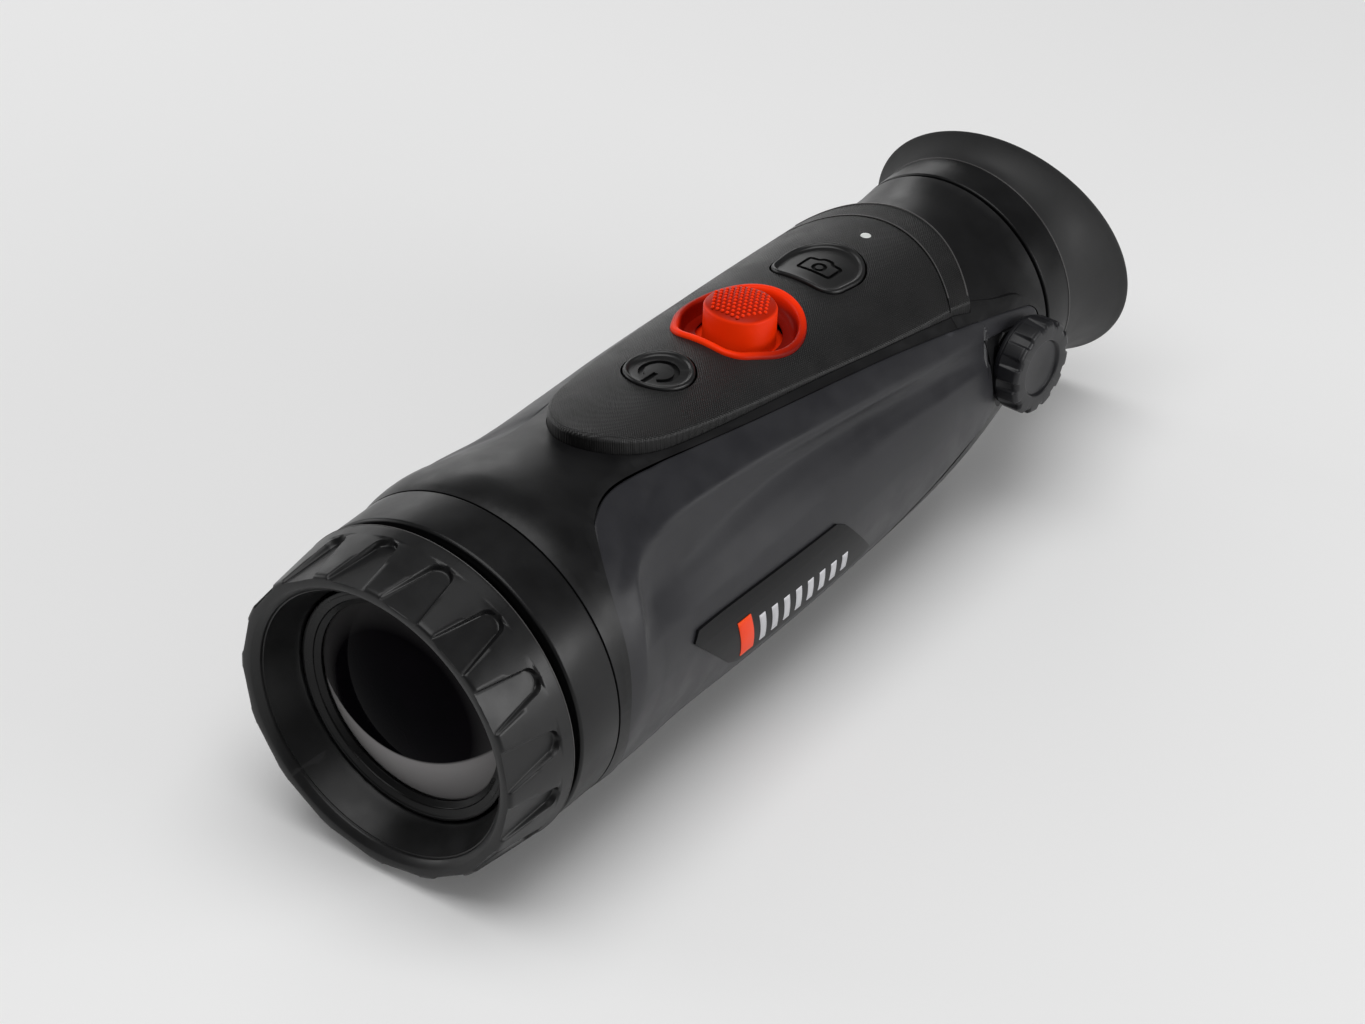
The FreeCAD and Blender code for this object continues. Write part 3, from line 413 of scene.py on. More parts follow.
def rounded(points, radius=0.3, steps=4):
    """A closed outline with its corners rounded; points are (a, b) or (a, b, own radius)."""
    outline = []
    count = len(points)
    for k, point in enumerate(points):
        corner = Vector(point[:2])
        own = point[2] if len(point) > 2 else radius
        before = Vector(points[k - 1][:2]) - corner
        after = Vector(points[(k + 1) % count][:2]) - corner
        reach = min(own, before.length * 0.45, after.length * 0.45)
        if reach < 1e-6:
            outline.append(corner)
            continue
        start, stop = corner + before.normalized() * reach, corner + after.normalized() * reach
        for step in range(steps + 1):
            t = step / steps
            outline.append(start * (1 - t) ** 2 + corner * 2 * t * (1 - t) + stop * t * t)
    return outline


def lathe(name, outline, slot, body, replaced=(), segments=256, place=polar, sharp=40.0, material=None):
    """Turns a closed outline of (radius, station) about the optical axis, or as place says."""
    vertices = [place(radius, station, 2 * math.pi * k / segments)
                for radius, station in outline for k in range(segments)]
    faces = grid_faces(len(outline), segments, True, True)
    return new_object(name, vertices, faces, slot, body, replaced, sharp, material)


# --- focus ring -------------------------------------------------------------------------------
RECESSES = 16
RECESS_ANGLE = math.radians(99.2)
ARCH_FRONT, ARCH_REAR, ARCH_STOP = 4.6, 2.6, 11.4
RECESS_FLOOR, FLOOR_SLOPE = 32.15, math.tan(math.radians(3.0))
RECESS_SOFTNESS = 0.26


def arch_half_width(station):
    """Half the width of a finger recess at a station."""
    if station <= ARCH_STOP:
        return ARCH_FRONT + (ARCH_REAR - ARCH_FRONT) * max(0.0, station) / ARCH_STOP
    return math.sqrt(max(0.0, ARCH_REAR ** 2 - (station - ARCH_STOP) ** 2))


def arch_depth(offset, station):
    """How far inside a recess's outline a point is, in millimetres; negative outside."""
    if station <= ARCH_STOP:
        return arch_half_width(station) - abs(offset)
    return ARCH_REAR - math.hypot(offset, station - ARCH_STOP)


def recess_offsets(station, radius):
    """Arc offsets of the mesh columns over one pitch, crowded along the recess's edges."""
    half_pitch = radius * math.pi / RECESSES
    edge = max(arch_half_width(station), 0.5)
    soft = min(RECESS_SOFTNESS, 0.3 * edge)
    inner = [edge * share for share in (0.0, 0.3, 0.6, 0.8)]
    border = [edge + soft * step for step in (-1.0, -0.6, -0.25, 0.1, 0.5, 1.0)]
    outer = [edge + soft + (half_pitch - edge - soft) * share for share in (0.3, 0.65, 1.0)]
    half = inner + border + outer
    return [-value for value in reversed(half[1:-1])] + half


def ring_point(radius, station, offset, centre, carved):
    """A point of the ring at an arc offset from a recess's centre; carved rows dip into the recess."""
    if carved:
        floor = RECESS_FLOOR + FLOOR_SLOPE * station
        floor = floor / math.cos(offset / radius)
        share = smooth(arch_depth(offset, station), -RECESS_SOFTNESS, RECESS_SOFTNESS)
        radius_here = radius - share * max(0.0, radius - floor)
    else:
        radius_here = radius
    return polar(radius_here, station, centre - offset / radius)


def make_focus_ring():
    """The rubber-faced ring, with finger recesses open at the front rim."""
    # rows of the closed outline: radius, station, and whether the recesses carve it
    rows = [(30.75, 0.03, False), (31.4, 0.0, True), (32.1, 0.0, True), (32.5, 0.06, True),
            (32.8, 0.22, True), (32.97, 0.5, True)]
    stations = [0.8, 1.4, 2.4, 3.8, 5.4, 7.0, 8.6, 9.8, 10.6] + [11.0 + 0.22 * k for k in range(18)]
    rows += [(33.0 + 1.6 * station / 17.0, station, True) for station in stations + [15.6, 16.4, 16.9]]
    rows += [(34.58, 17.1, False), (34.45, 17.35, False), (34.2, 17.52, False), (33.8, 17.6, False)]
    rows += [(30.0, 17.6, False), (30.0, 10.2, False), (25.8, 10.2, False), (25.8, 8.9, False),
             (25.95, 8.65, False)]
    rows += [(26.1 + 2.7 * k / 8, 8.4 - 6.2 * k / 8, False) for k in range(9)]
    rows += [(28.9, 1.95, False), (29.15, 1.9, False), (29.2, 1.8, False), (29.22, 1.42, False),
             (29.4, 1.2, False), (30.5, 0.12, False)]
    vertices = []
    for radius, station, carved in rows:
        near = station if carved else (0.0 if radius < 31 and station < 9 else 14.0)
        for k in range(RECESSES):
            centre = RECESS_ANGLE - 2 * math.pi * k / RECESSES
            vertices += [ring_point(radius, station, offset, centre, carved)
                         for offset in recess_offsets(near, radius)]
    columns = len(vertices) // len(rows)
    faces = grid_faces(len(rows), columns, True, True)
    new_object("focus_ring_cover", vertices, faces, "ring", "focus_ring", ["focus_ring"], 50)


def make_front_barrel():
    """The smooth band behind the ring, with a spigot that runs into the housing."""
    outline = rounded([(33.9, 19.8, 0.5), (34.3, 20.3, 0.4), (34.3, 31.15, 0.2), (34.05, 31.4, 0.1),
                       (29.8, 31.4), (29.8, 44.0), (28.65, 44.0), (28.65, 30.8), (30.4, 30.0),
                       (30.4, 19.8)], 0.15)
    lathe("front_barrel_shell", outline, "housing", "housing", ["front_barrel"], 320)


# --- objective glass ---------------------------------------------------------------------------
def sphere_arc(radius, edge_station, sphere, way, count=28):
    """Points (r, station) on a lens face, from its rim to its middle; way is the apex's side."""
    rim = math.sqrt(sphere * sphere - radius * radius)
    points = []
    for k in range(count + 1):
        r = radius * math.cos(math.pi / 2 * k / count)
        points.append((r, edge_station + way * (math.sqrt(sphere * sphere - r * r) - rim)))
    return points


def make_lens(name, node, body, slot, radius, front, rear, front_sphere, rear_sphere):
    """A lens from its two faces; a negative sphere is hollow."""
    front_face = sphere_arc(radius, front, abs(front_sphere), -1 if front_sphere > 0 else 1)
    rear_face = sphere_arc(radius, rear, abs(rear_sphere), 1 if rear_sphere > 0 else -1)
    lathe(name, front_face[::-1] + rear_face, slot, body, [node], 192, sharp=60)


def make_objective():
    """The coated front lens and the stepped ring that holds it."""
    make_lens("front_lens_glass", "front_lens", "lens_group", "germanium", 23.0, 11.9, 15.6, 46.0, -75.0)
    outline = rounded([(24.5, 8.8, 0.2), (25.2, 8.8, 0.3), (25.2, 9.9), (23.9, 9.9), (23.9, 11.7),
                       (23.1, 11.7), (21.7, 10.9, 0.1), (21.7, 10.4, 0.1), (22.9, 9.7, 0.2),
                       (23.0, 9.4, 0.1), (24.2, 9.0, 0.15)], 0.08)
    lathe("lens_ring_bezel", outline, "anodised", "lens_group", ["lens_retaining_ring"], 256)


# --- eyecup ---------------------------------------------------------------------------------------
CUP_FRONT, LIP_STATION, LIP_R = 199.2, 211.1, 29.7
LIP_ACROSS, LIP_UP = 0.14, -0.20


def cup_point(radius, share, angle):
    """share runs from the collar (0) to the slanted lip's plane (1)."""
    slant = LIP_ACROSS * math.cos(angle) + LIP_UP * math.sin(angle)
    rear = LIP_STATION + LIP_R * slant
    return polar(radius, CUP_FRONT + share * (rear - CUP_FRONT), angle)


def make_eyecup():
    """Soft rubber: a tight neck, a hollow flare and a thin rolled lip."""
    outer = [(25.25 + 4.35 * (k / 16) ** 2.3, k / 16) for k in range(16)]
    lip = [(29.55, 0.985), (29.66, 1.0), (29.62, 1.02), (29.3, 1.03), (28.9, 1.02), (28.62, 0.985)]
    inner = [(28.4 - 3.9 * (1 - k / 12) ** 0.9, 0.62 + 0.33 * k / 12) for k in range(12, -1, -1)]
    neck = [(24.0, 0.55), (21.62, 0.53), (21.6, 0.5), (21.6, 0.06), (22.0, 0.0), (24.6, 0.0), (25.1, 0.0)]
    outline = [Vector(point) for point in outer + lip + inner + neck]
    lathe("eyecup_rubber_cup", outline, "eyecup", "eyecup", ["eyecup"], 256, cup_point, 50)


# --- diopter knob ------------------------------------------------------------------------------------
KNOB_STATION, KNOB_R, KNOB_OUT, KNOB_NOTCHES = 176.0, 10.3, 34.0, 12


def knob_point(radius, x, angle):
    """A point of the knob; its rim carries round notches over the outer part."""
    turn = (angle * KNOB_NOTCHES / (2 * math.pi) + 0.5) % 1.0 - 0.5
    arc = turn * 2 * math.pi * KNOB_R / KNOB_NOTCHES
    if radius > 8.6:
        along = smooth(x, KNOB_OUT - 5.0, KNOB_OUT - 4.2)
        radius -= 0.75 * along * smooth(1.35 - abs(arc), 0.0, 0.55)
    return at(x, KNOB_STATION + radius * math.cos(angle), radius * math.sin(angle))


def make_knob():
    """The notched cap, with a shallow round recess in its outer face."""
    outline = rounded([(2.0, 27.6, 0), (9.6, 27.6, 0.5), (10.0, 28.4, 0.3), (10.0, 28.9, 0.2),
                       (KNOB_R, 29.1, 0.2), (KNOB_R, 33.4, 0.5), (9.6, KNOB_OUT, 0.4), (6.3, KNOB_OUT, 0.3),
                       (5.9, 33.3, 0.2), (0.01, 33.2, 0), (0.01, 31.2, 0), (2.0, 31.0, 0)], 0.2, 5)
    lathe("diopter_knob_cap", outline, "knob", "diopter_knob", ["diopter_knob"], KNOB_NOTCHES * 24,
          knob_point, 45)


# --- control panel -------------------------------------------------------------------------------------
def crown_at(x, station, height):
    """A point at a height over the crowned panel."""
    return panel_at(x, station, height + math.sqrt(PANEL_CROWN ** 2 - x * x) - PANEL_CROWN)


def circle_outline(radius, centre, count=96):
    """Points (x, station) round a circle on the centre line."""
    return arc_points((0, centre), radius, 0, 2 * math.pi, count)[:-1]


def arc_points(centre, radius, start, stop, count):
    """Points round a circle from one angle to another, both ends included."""
    return [(centre[0] + radius * math.cos(start + (stop - start) * k / count),
             centre[1] + radius * math.sin(start + (stop - start) * k / count)) for k in range(count + 1)]


def shield_outline(front_half, front, radius, centre, corner, grow=0.0):
    """A shield seen from above: straight front edge, round corners and a round rear."""
    smallest_corner = 0.05
    small, large = max(smallest_corner, corner + grow), radius + grow
    a = Vector((front_half - corner, front + corner))
    b = Vector((0.0, centre))
    unit = (b - a).normalized()
    slant = (small - large) / (b - a).length
    side = Vector((-unit.y, unit.x))
    side = side if side.x > 0 else -side
    normal = unit * slant + side * math.sqrt(max(0.0, 1 - slant * slant))
    turn = math.atan2(normal.y, normal.x)
    right = arc_points(a, small, -math.pi / 2, turn, 10)
    rear = arc_points(b, large, turn, math.pi - turn, 40)
    left = [(-x, s) for x, s in reversed(right)]
    return right + rear + left


def even_ring(outline, centre, count):
    """The outline's points where count rays from the centre cross it."""
    middle = Vector((0.0, centre))
    corners = [Vector(p) - middle for p in outline]
    angles = [math.atan2(p.y, p.x) for p in corners]
    ring = []
    for k in range(count):
        ray = Vector((math.cos(2 * math.pi * k / count), math.sin(2 * math.pi * k / count)))
        best = None
        for p, q in zip(corners, corners[1:] + corners[:1]):
            cross = p.x * q.y - p.y * q.x
            a = ray.x * q.y - ray.y * q.x
            b = p.x * ray.y - p.y * ray.x
            if cross > 1e-12 and a >= -1e-9 and b >= -1e-9:
                best = ray * (cross / (a + b)) if a + b > 1e-12 else None
        ring.append((best if best else ray * corners[angles.index(min(angles))].length) + middle)
    return ring


def stacked(name, rings, slot, body, replaced=(), sharp=40.0, closed=False, material=None):
    """A piece through rings of (x, station, height) over the crown; the ends are capped."""
    count = len(rings[0])
    vertices = [crown_at(*point) for ring in rings for point in ring]
    faces = grid_faces(len(rings), count, closed, True)
    if not closed:
        faces.append(tuple(range(count)))
        faces.append(tuple(reversed(range(len(vertices) - count, len(vertices)))))
    return new_object(name, vertices, faces, slot, body, replaced, sharp, material)


def with_height(ring, height):
    """The ring's points (x, station), each with that height."""
    return [(p[0], p[1], height) for p in ring]


def shrunk(ring, centre, share):
    """The ring drawn in towards a centre on the centre line."""
    return [(p[0] * share, centre + (p[1] - centre) * share) for p in ring]


def key_rings(outline_of, centre, count=144):
    """A soft key: a straight side, a raised round rim and a shallow dish inside it."""
    foot = ((1.0, -4.2), (1.0, -3.75), (0.0, -3.7), (0.0, -0.1))
    rim = ((-0.06, 0.24), (-0.22, 0.46), (-0.45, 0.54), (-0.68, 0.48), (-0.88, 0.28), (-1.02, 0.02))
    dish = ((-1.2, -0.2), (-1.5, -0.31), (-2.4, -0.36))
    rings = [with_height(even_ring(outline_of(grow), centre, count), height)
             for grow, height in foot + rim + dish]
    top = even_ring(outline_of(dish[-1][0]), centre, count)
    for share in (0.8, 0.55, 0.3, 0.1):
        rings.append(with_height(shrunk(top, centre, share), -0.4))
    return rings


def strip_cutter(path, width, low, high, closed=False):
    """A thin upright wall along a path of (x, station): the groove of an engraved line."""
    points = [Vector(p) for p in path]
    count = len(points)
    sides = []
    for k, point in enumerate(points):
        before = points[k - 1] if closed or k > 0 else point
        after = points[(k + 1) % count] if closed or k < count - 1 else point
        way = (after - before).normalized()
        normal = Vector((-way.y, way.x)) * (width / 2)
        if not closed and k in (0, count - 1):
            point = point + way * (width / 2) * (1 if k else -1)
        sides.append((point + normal, point - normal))
    vertices, faces = [], []
    for left, right in sides:
        vertices += [crown_at(left.x, left.y, low), crown_at(right.x, right.y, low),
                     crown_at(right.x, right.y, high), crown_at(left.x, left.y, high)]
    last = count if closed else count - 1
    for k in range(last):
        a, b = 4 * k, 4 * ((k + 1) % count)
        faces += [(a + i, a + (i + 1) % 4, b + (i + 1) % 4, b + i) for i in range(4)]
    if not closed:
        faces += [(3, 2, 1, 0), tuple(4 * (count - 1) + i for i in range(4))]
    mesh = bpy.data.meshes.new("cutter")
    mesh.from_pydata([tuple(v) for v in vertices], [], faces)
    work = bmesh.new()
    work.from_mesh(mesh)
    bmesh.ops.recalc_face_normals(work, faces=work.faces)
    work.to_mesh(mesh)
    work.free()
    return bpy.data.objects.new("cutter", mesh)


def engrave(piece, cutters):
    """Cuts grooves into a piece and keeps the result as its mesh."""
    for cutter in cutters:
        bpy.context.scene.collection.objects.link(cutter)
        cut = piece.modifiers.new("groove", "BOOLEAN")
        cut.operation = "DIFFERENCE"
        cut.solver = "EXACT"
        cut.object = cutter
    bpy.context.view_layer.update()
    graph = bpy.context.evaluated_depsgraph_get()
    mesh = bpy.data.meshes.new_from_object(piece.evaluated_get(graph))
    piece.modifiers.clear()
    piece.data = mesh
    mesh.shade_smooth()
    mesh.set_sharp_from_angle(angle=math.radians(40))
    for cutter in cutters:
        bpy.data.objects.remove(cutter)


def make_keys():
    """The power key and the camera key, each with its engraved symbol."""
    def power_outline(grow):
        return circle_outline(7.2 + grow, POWER_STATION)

    def camera_outline(grow):
        return shield_outline(8.6, 135.1, 9.0, CAMERA_CENTRE, 4.2, grow)

    low, high = -1.0, 0.5
    power = stacked("power_key_cap", key_rings(power_outline, POWER_STATION), "keys", "power_key",
                    ["power_key"])
    gap, stroke = math.radians(38), 1.15
    arc = arc_points((0, POWER_STATION), 3.6, gap - math.pi / 2, 3 * math.pi / 2 - gap, 40)
    bar = [(0, POWER_STATION - 4.9), (0, POWER_STATION - 1.5)]
    engrave(power, [strip_cutter(arc, stroke, low, high), strip_cutter(bar, stroke, low, high)])
    camera = stacked("camera_key_cap", key_rings(camera_outline, CAMERA_CENTRE), "keys", "camera_key",
                     ["camera_key"])
    middle = CAMERA_CENTRE - 0.6
    front, shoulder, hump = middle - 2.4, middle + 2.2, middle + 3.1
    case = [(-3.9, front), (3.9, front), (3.9, shoulder), (1.7, shoulder), (1.0, hump), (-1.0, hump),
            (-1.7, shoulder), (-3.9, shoulder)]
    case = [tuple(p) for p in rounded(case, 0.7, 4)]
    eye = circle_outline(1.25, middle - 0.2, 32)
    engrave(camera, [strip_cutter(case, 0.85, low, high, True), strip_cutter(eye, 0.8, low, high, True)])


# --- joystick ---------------------------------------------------------------------------------------------
BUMP_PITCH, BUMP_R, BUMP_HEIGHT = 1.22, 0.45, 0.42
BUMP_ROWS = 7                   # rows of studs each way from the middle one


def make_bezel():
    """The bright surround: a broad round rim that follows the crown, and a bowl round the stick."""
    def outline(grow):
        return shield_outline(10.5, 101.9, 13.5, JOY_STATION, 6.5, grow)

    count = 192
    rim = ((0.0, -3.4), (0.0, 0.2), (-0.06, 0.5), (-0.26, 0.74), (-0.6, 0.84), (-1.0, 0.8), (-1.35, 0.62))
    bowl = ((-1.6, 0.3), (-1.75, -0.2), (-1.9, -0.9), (-2.1, -1.8), (-2.5, -2.7), (-3.4, -3.2))
    rings = [with_height(even_ring(outline(grow), JOY_STATION, count), height) for grow, height in rim + bowl]
    hole = even_ring(circle_outline(JOY_R + 1.3, JOY_STATION), JOY_STATION, count)
    rings.append(with_height(hole, -3.1))
    rings.append(with_height(hole, -3.4))
    # the bowl's material paints shade into the bowl
    stacked("joystick_surround", rings, "orange", "housing", ["joystick_bezel"], 45, True, "bowl_orange_painted_shade")


def joy_point(radius, height, angle):
    """The stick's column: round, with a slightly flattened front."""
    x, y = radius * math.cos(angle), radius * math.sin(angle)
    if radius > 3 and y < 0:
        y *= 1 - 0.08 * smooth(-y / radius, 0.3, 1.0)
    return panel_at(x, JOY_STATION + y, height)


def bump(centre_x, centre_y, base, steps=8):
    """One small blunt stud on the stick's top: a ring, a smaller ring and a tip."""
    vertices, faces = [], []
    middle = (centre_x, JOY_STATION + centre_y)
    for radius, height in ((BUMP_R, -0.12), (BUMP_R * 0.92, 0.12), (BUMP_R * 0.55, BUMP_HEIGHT * 0.85)):
        ring = arc_points(middle, radius, 0, 2 * math.pi, steps)[:-1]
        vertices += [panel_at(x, station, base + height) for x, station in ring]
    vertices.append(panel_at(centre_x, JOY_STATION + centre_y, base + BUMP_HEIGHT))
    for level in range(2):
        faces += [(level * steps + k, level * steps + (k + 1) % steps, (level + 1) * steps + (k + 1) % steps,
                   (level + 1) * steps + k) for k in range(steps)]
    faces += [(2 * steps + k, 2 * steps + (k + 1) % steps, 3 * steps) for k in range(steps)]
    faces.append(tuple(reversed(range(steps))))
    return vertices, faces


def crown(distance):
    """Height of the stick's slightly domed top at a distance from its middle."""
    return JOY_TOP - DOME * distance * distance


def make_stick():
    """The stick's cap: a domed top full of small studs, a skirt and a socket for the stem."""
    outline = [(0.01, crown(0))] + [(r, crown(r)) for r in (1.5, 3.0, 4.5, 5.7)]
    outline += [(6.4, crown(6.4) - 0.08), (7.0, crown(6.4) - 0.36), (7.35, crown(6.4) - 0.8)]
    outline += [(JOY_R, 2.2), (JOY_R, -5.2), (7.6, -5.4), (9.2, -5.4), (9.3, -5.5), (9.3, -6.4)]
    outline += [(1.82, -6.4), (1.82, -4.0), (0.01, -4.0)]
    segments = 128
    vertices = [joy_point(radius, height, 2 * math.pi * k / segments)
                for radius, height in outline for k in range(segments)]
    faces = grid_faces(len(outline), segments, False, True)
    limit = JOY_R - 1.35
    for row in range(-BUMP_ROWS, BUMP_ROWS + 1):
        y = row * BUMP_PITCH * math.sqrt(3) / 2
        for column in range(-BUMP_ROWS, BUMP_ROWS + 1):
            x = (column + 0.5 * (row % 2)) * BUMP_PITCH
            distance = math.hypot(x, y)
            if distance < limit:
                more, more_faces = bump(x, y, crown(distance))
                faces += [tuple(index + len(vertices) for index in face) for face in more_faces]
                vertices += more
    # the studs' material paints shade between the studs
    new_object("joystick_cap_studded", vertices, faces, "orange", "stick", ["joystick_cap"], 40,
               "stud_orange_painted_shade")


def make_led():
    """The light guide: a long pin with a low domed end."""
    outline = [(0.01, 0.2), (0.5, 0.17), (0.9, 0.06), (1.1, -0.05), (1.17, -0.2), (1.17, -8.0), (0.01, -8.0)]
    segments = 48
    vertices = [panel_at(x, station, height) for radius, height in outline
                for x, station in circle_outline(radius, LED_STATION, segments)]
    faces = grid_faces(len(outline), segments, False, True)
    new_object("status_led_dome", vertices, faces, "light_guide", "housing", ["status_led"], 50)


# --- grips -----------------------------------------------------------------------------------------------
# the body's circles: station, radius, drop of the centre under the axis
BODY = ((31.6, 34.35, 0.0), (45, 34.3, 0.0), (60, 33.2, 1.0), (80, 33.1, 1.6), (100, 33.0, 1.8),
        (121, 32.4, 1.9), (141, 31.5, 2.0), (155, 30.25, 2.1), (161, 29.7, 2.1), (177, 27.7, 1.6),
        (189.8, 26.8, 0.0))
# a grip's border as (station, height), one smooth path after another
GRIP_TOP = ((45.5, 29.3), (52, 29.9), (62, 29.1), (72, 28.05), (82, 27.0), (93, 25.8), (104, 24.55),
            (121, 22.4), (137, 20.0), (152.5, 16.9), (167, 13.2), (173, 11.6), (178.6, 9.9), (183, 8.6))
GRIP_NOSE = ((183, 8.6), (184.9, 7.0), (185.1, 5.2), (184.6, 4.4))
RAIL_UNDER = ((184.6, 4.4), (180, 6.3), (172.6, 8.3), (166, 9.7), (165, 9.4), (164.8, 8.4))
GRIP_REAR = ((164.8, 8.4), (164.8, 0), (164.8, -9.0))
GRIP_BOTTOM = ((164.8, -9.0), (150, -13), (112, -22), (70, -25), (38, -23))
GRIP_FRONT = ((38, -23), (34.4, -4), (35.8, 11), (38.9, 23.5), (45.5, 29.3))
# the valley: angles of its upper rim, its floor and its lower rim, and its depth, by station
VALLEY_RIM = ((50, 42.5), (56, 43.4), (65, 45), (79, 44.3), (93, 42.4), (110, 38.7), (128, 34.8), (149, 30.5),
              (161, 27.1), (172.6, 20.8), (190, 12))
VALLEY_FLOOR = ((44, 27), (68, 31.5), (79, 34), (96, 35.2), (120, 31.8), (144, 25.5), (160, 20), (190, 6))
VALLEY_FOOT = ((44, 14), (65, 15.1), (77, 15.4), (89, 16.7), (102, 18.0), (115, 18.5), (128, 19.0),
               (144, 17), (165, 12), (190, 0))
VALLEY_DEPTH = ((33, 2.3), (60, 2.4), (80, 2.4), (100, 2.3), (120, 2.1), (140, 1.6), (155, 1.1),
                (165, 0.7), (172, 0.2), (190, 0.0))
# station of the crease at a grip's front, by angle
CREASE = ((-40, 32.0), (-15, 35.7), (-5, 38.3), (4.6, 40.0), (14.3, 41.1), (23.2, 42.7), (29.5, 44.1),
          (35.9, 45.8), (41.1, 49.2), (44.5, 52.0), (55, 62.0), (70, 80.0))


def cubic(table, value):
    """Smooth (Hermite) reading of a table of (key, value) pairs."""
    keys = [row[0] for row in table]
    if value <= keys[0]:
        return table[0][1]
    if value >= keys[-1]:
        return table[-1][1]
    k = max(i for i, key in enumerate(keys[:-1]) if key <= value)

    def slope(i):
        if i in (0, len(keys) - 1):
            j = min(max(i, 1), len(keys) - 1)
            return (table[j][1] - table[j - 1][1]) / (keys[j] - keys[j - 1])
        return (table[i + 1][1] - table[i - 1][1]) / (keys[i + 1] - keys[i - 1])

    span = keys[k + 1] - keys[k]
    t = (value - keys[k]) / span
    return ((2 * t ** 3 - 3 * t * t + 1) * table[k][1] + (t ** 3 - 2 * t * t + t) * span * slope(k)
            + (3 * t * t - 2 * t ** 3) * table[k + 1][1] + (t ** 3 - t * t) * span * slope(k + 1))


BODY_R = [(row[0], row[1]) for row in BODY]
BODY_DROP = [(row[0], row[2]) for row in BODY]


def skin_point(station, degrees, depth, side=1):
    """A point under the body's skin, by its angle over the horizontal round the body's centre."""
    radius = cubic(BODY_R, station) - depth
    angle = math.radians(degrees)
    return at(side * radius * math.cos(angle), station, radius * math.sin(angle) - cubic(BODY_DROP, station))


def side_angle(station, height):
    """The angle on the skin of a height over the optical axis."""
    share = (height + cubic(BODY_DROP, station)) / cubic(BODY_R, station)
    return math.degrees(math.asin(max(-1.0, min(1.0, share))))


def walk(points, step):
    """Points evenly spaced along a smooth open path."""
    count = len(points)
    path = [Vector(p) for p in points]
    fine = []
    for k in range(count - 1):
        before = path[max(k - 1, 0)]
        after = path[min(k + 2, count - 1)]
        a, b = path[k], path[k + 1]
        for i in range(24):
            t = i / 24
            fine.append(0.5 * (2 * a + (b - before) * t + (2 * before - 5 * a + 4 * b - after) * t * t
                               + (3 * a - before - 3 * b + after) * t ** 3))
    fine.append(path[-1])
    lengths = [0.0]
    for a, b in zip(fine, fine[1:]):
        lengths.append(lengths[-1] + (b - a).length)
    steps = max(2, round(lengths[-1] / step))
    even = []
    j = 0
    for i in range(steps):
        goal = lengths[-1] * i / steps
        while lengths[j + 1] < goal:
            j += 1
        even.append(fine[j].lerp(fine[j + 1], (goal - lengths[j]) / (lengths[j + 1] - lengths[j])))
    return even


def grip_depth(station, degrees):
    """How far the grip's surface lies under the body's skin."""
    rim, floor, foot = (cubic(table, station) for table in (VALLEY_RIM, VALLEY_FLOOR, VALLEY_FOOT))
    profile = ((foot - 16, 0.0), (foot - 7, 0.10), (foot - 0.6, 0.24), (foot + 0.6, 0.30),
               ((foot + floor) / 2, 0.72), (floor, 1.0), (floor * 0.55 + rim * 0.45, 0.72),
               (rim - 0.6, 0.10), (rim + 1.2, 0.0))
    valley = cubic(profile, degrees) * cubic(VALLEY_DEPTH, station)
    behind = station - cubic(CREASE, degrees)
    if behind < 0:
        return 0.5 * smooth(-behind, 0.0, 7.0)
    opened = 1 - math.exp(-behind / 2.6)
    dip = 0.42 * smooth(behind, 0.0, 7.0) * smooth(150 - station, 0, 25) * smooth(degrees, -34, -14)
    dip *= 1 - smooth(degrees, rim - 2, rim + 2)
    return valley * opened + dip


GRIP_BACK, RAIL_BACK = 4.2, 1.0
UNROLL = 30.0               # millimetres of the unrolled skin for each radian
SPINE_START, SPINE_END, SPINE_ANGLE = 52, 163, 8.0
RAIL_START, RAIL_END = 166, 182


def spine_point(station):
    """Where a grip's rings shrink to: a line along its middle, and the middle of the rail."""
    if station < RAIL_START:
        return Vector((min(max(round(station), SPINE_START), SPINE_END), math.radians(SPINE_ANGLE) * UNROLL))
    station = min(round(station), RAIL_END)
    top = side_angle(station, cubic(GRIP_TOP, station))
    under = side_angle(station, cubic(sorted(RAIL_UNDER[:4]), station))
    return Vector((station, math.radians((top + under) / 2) * UNROLL))


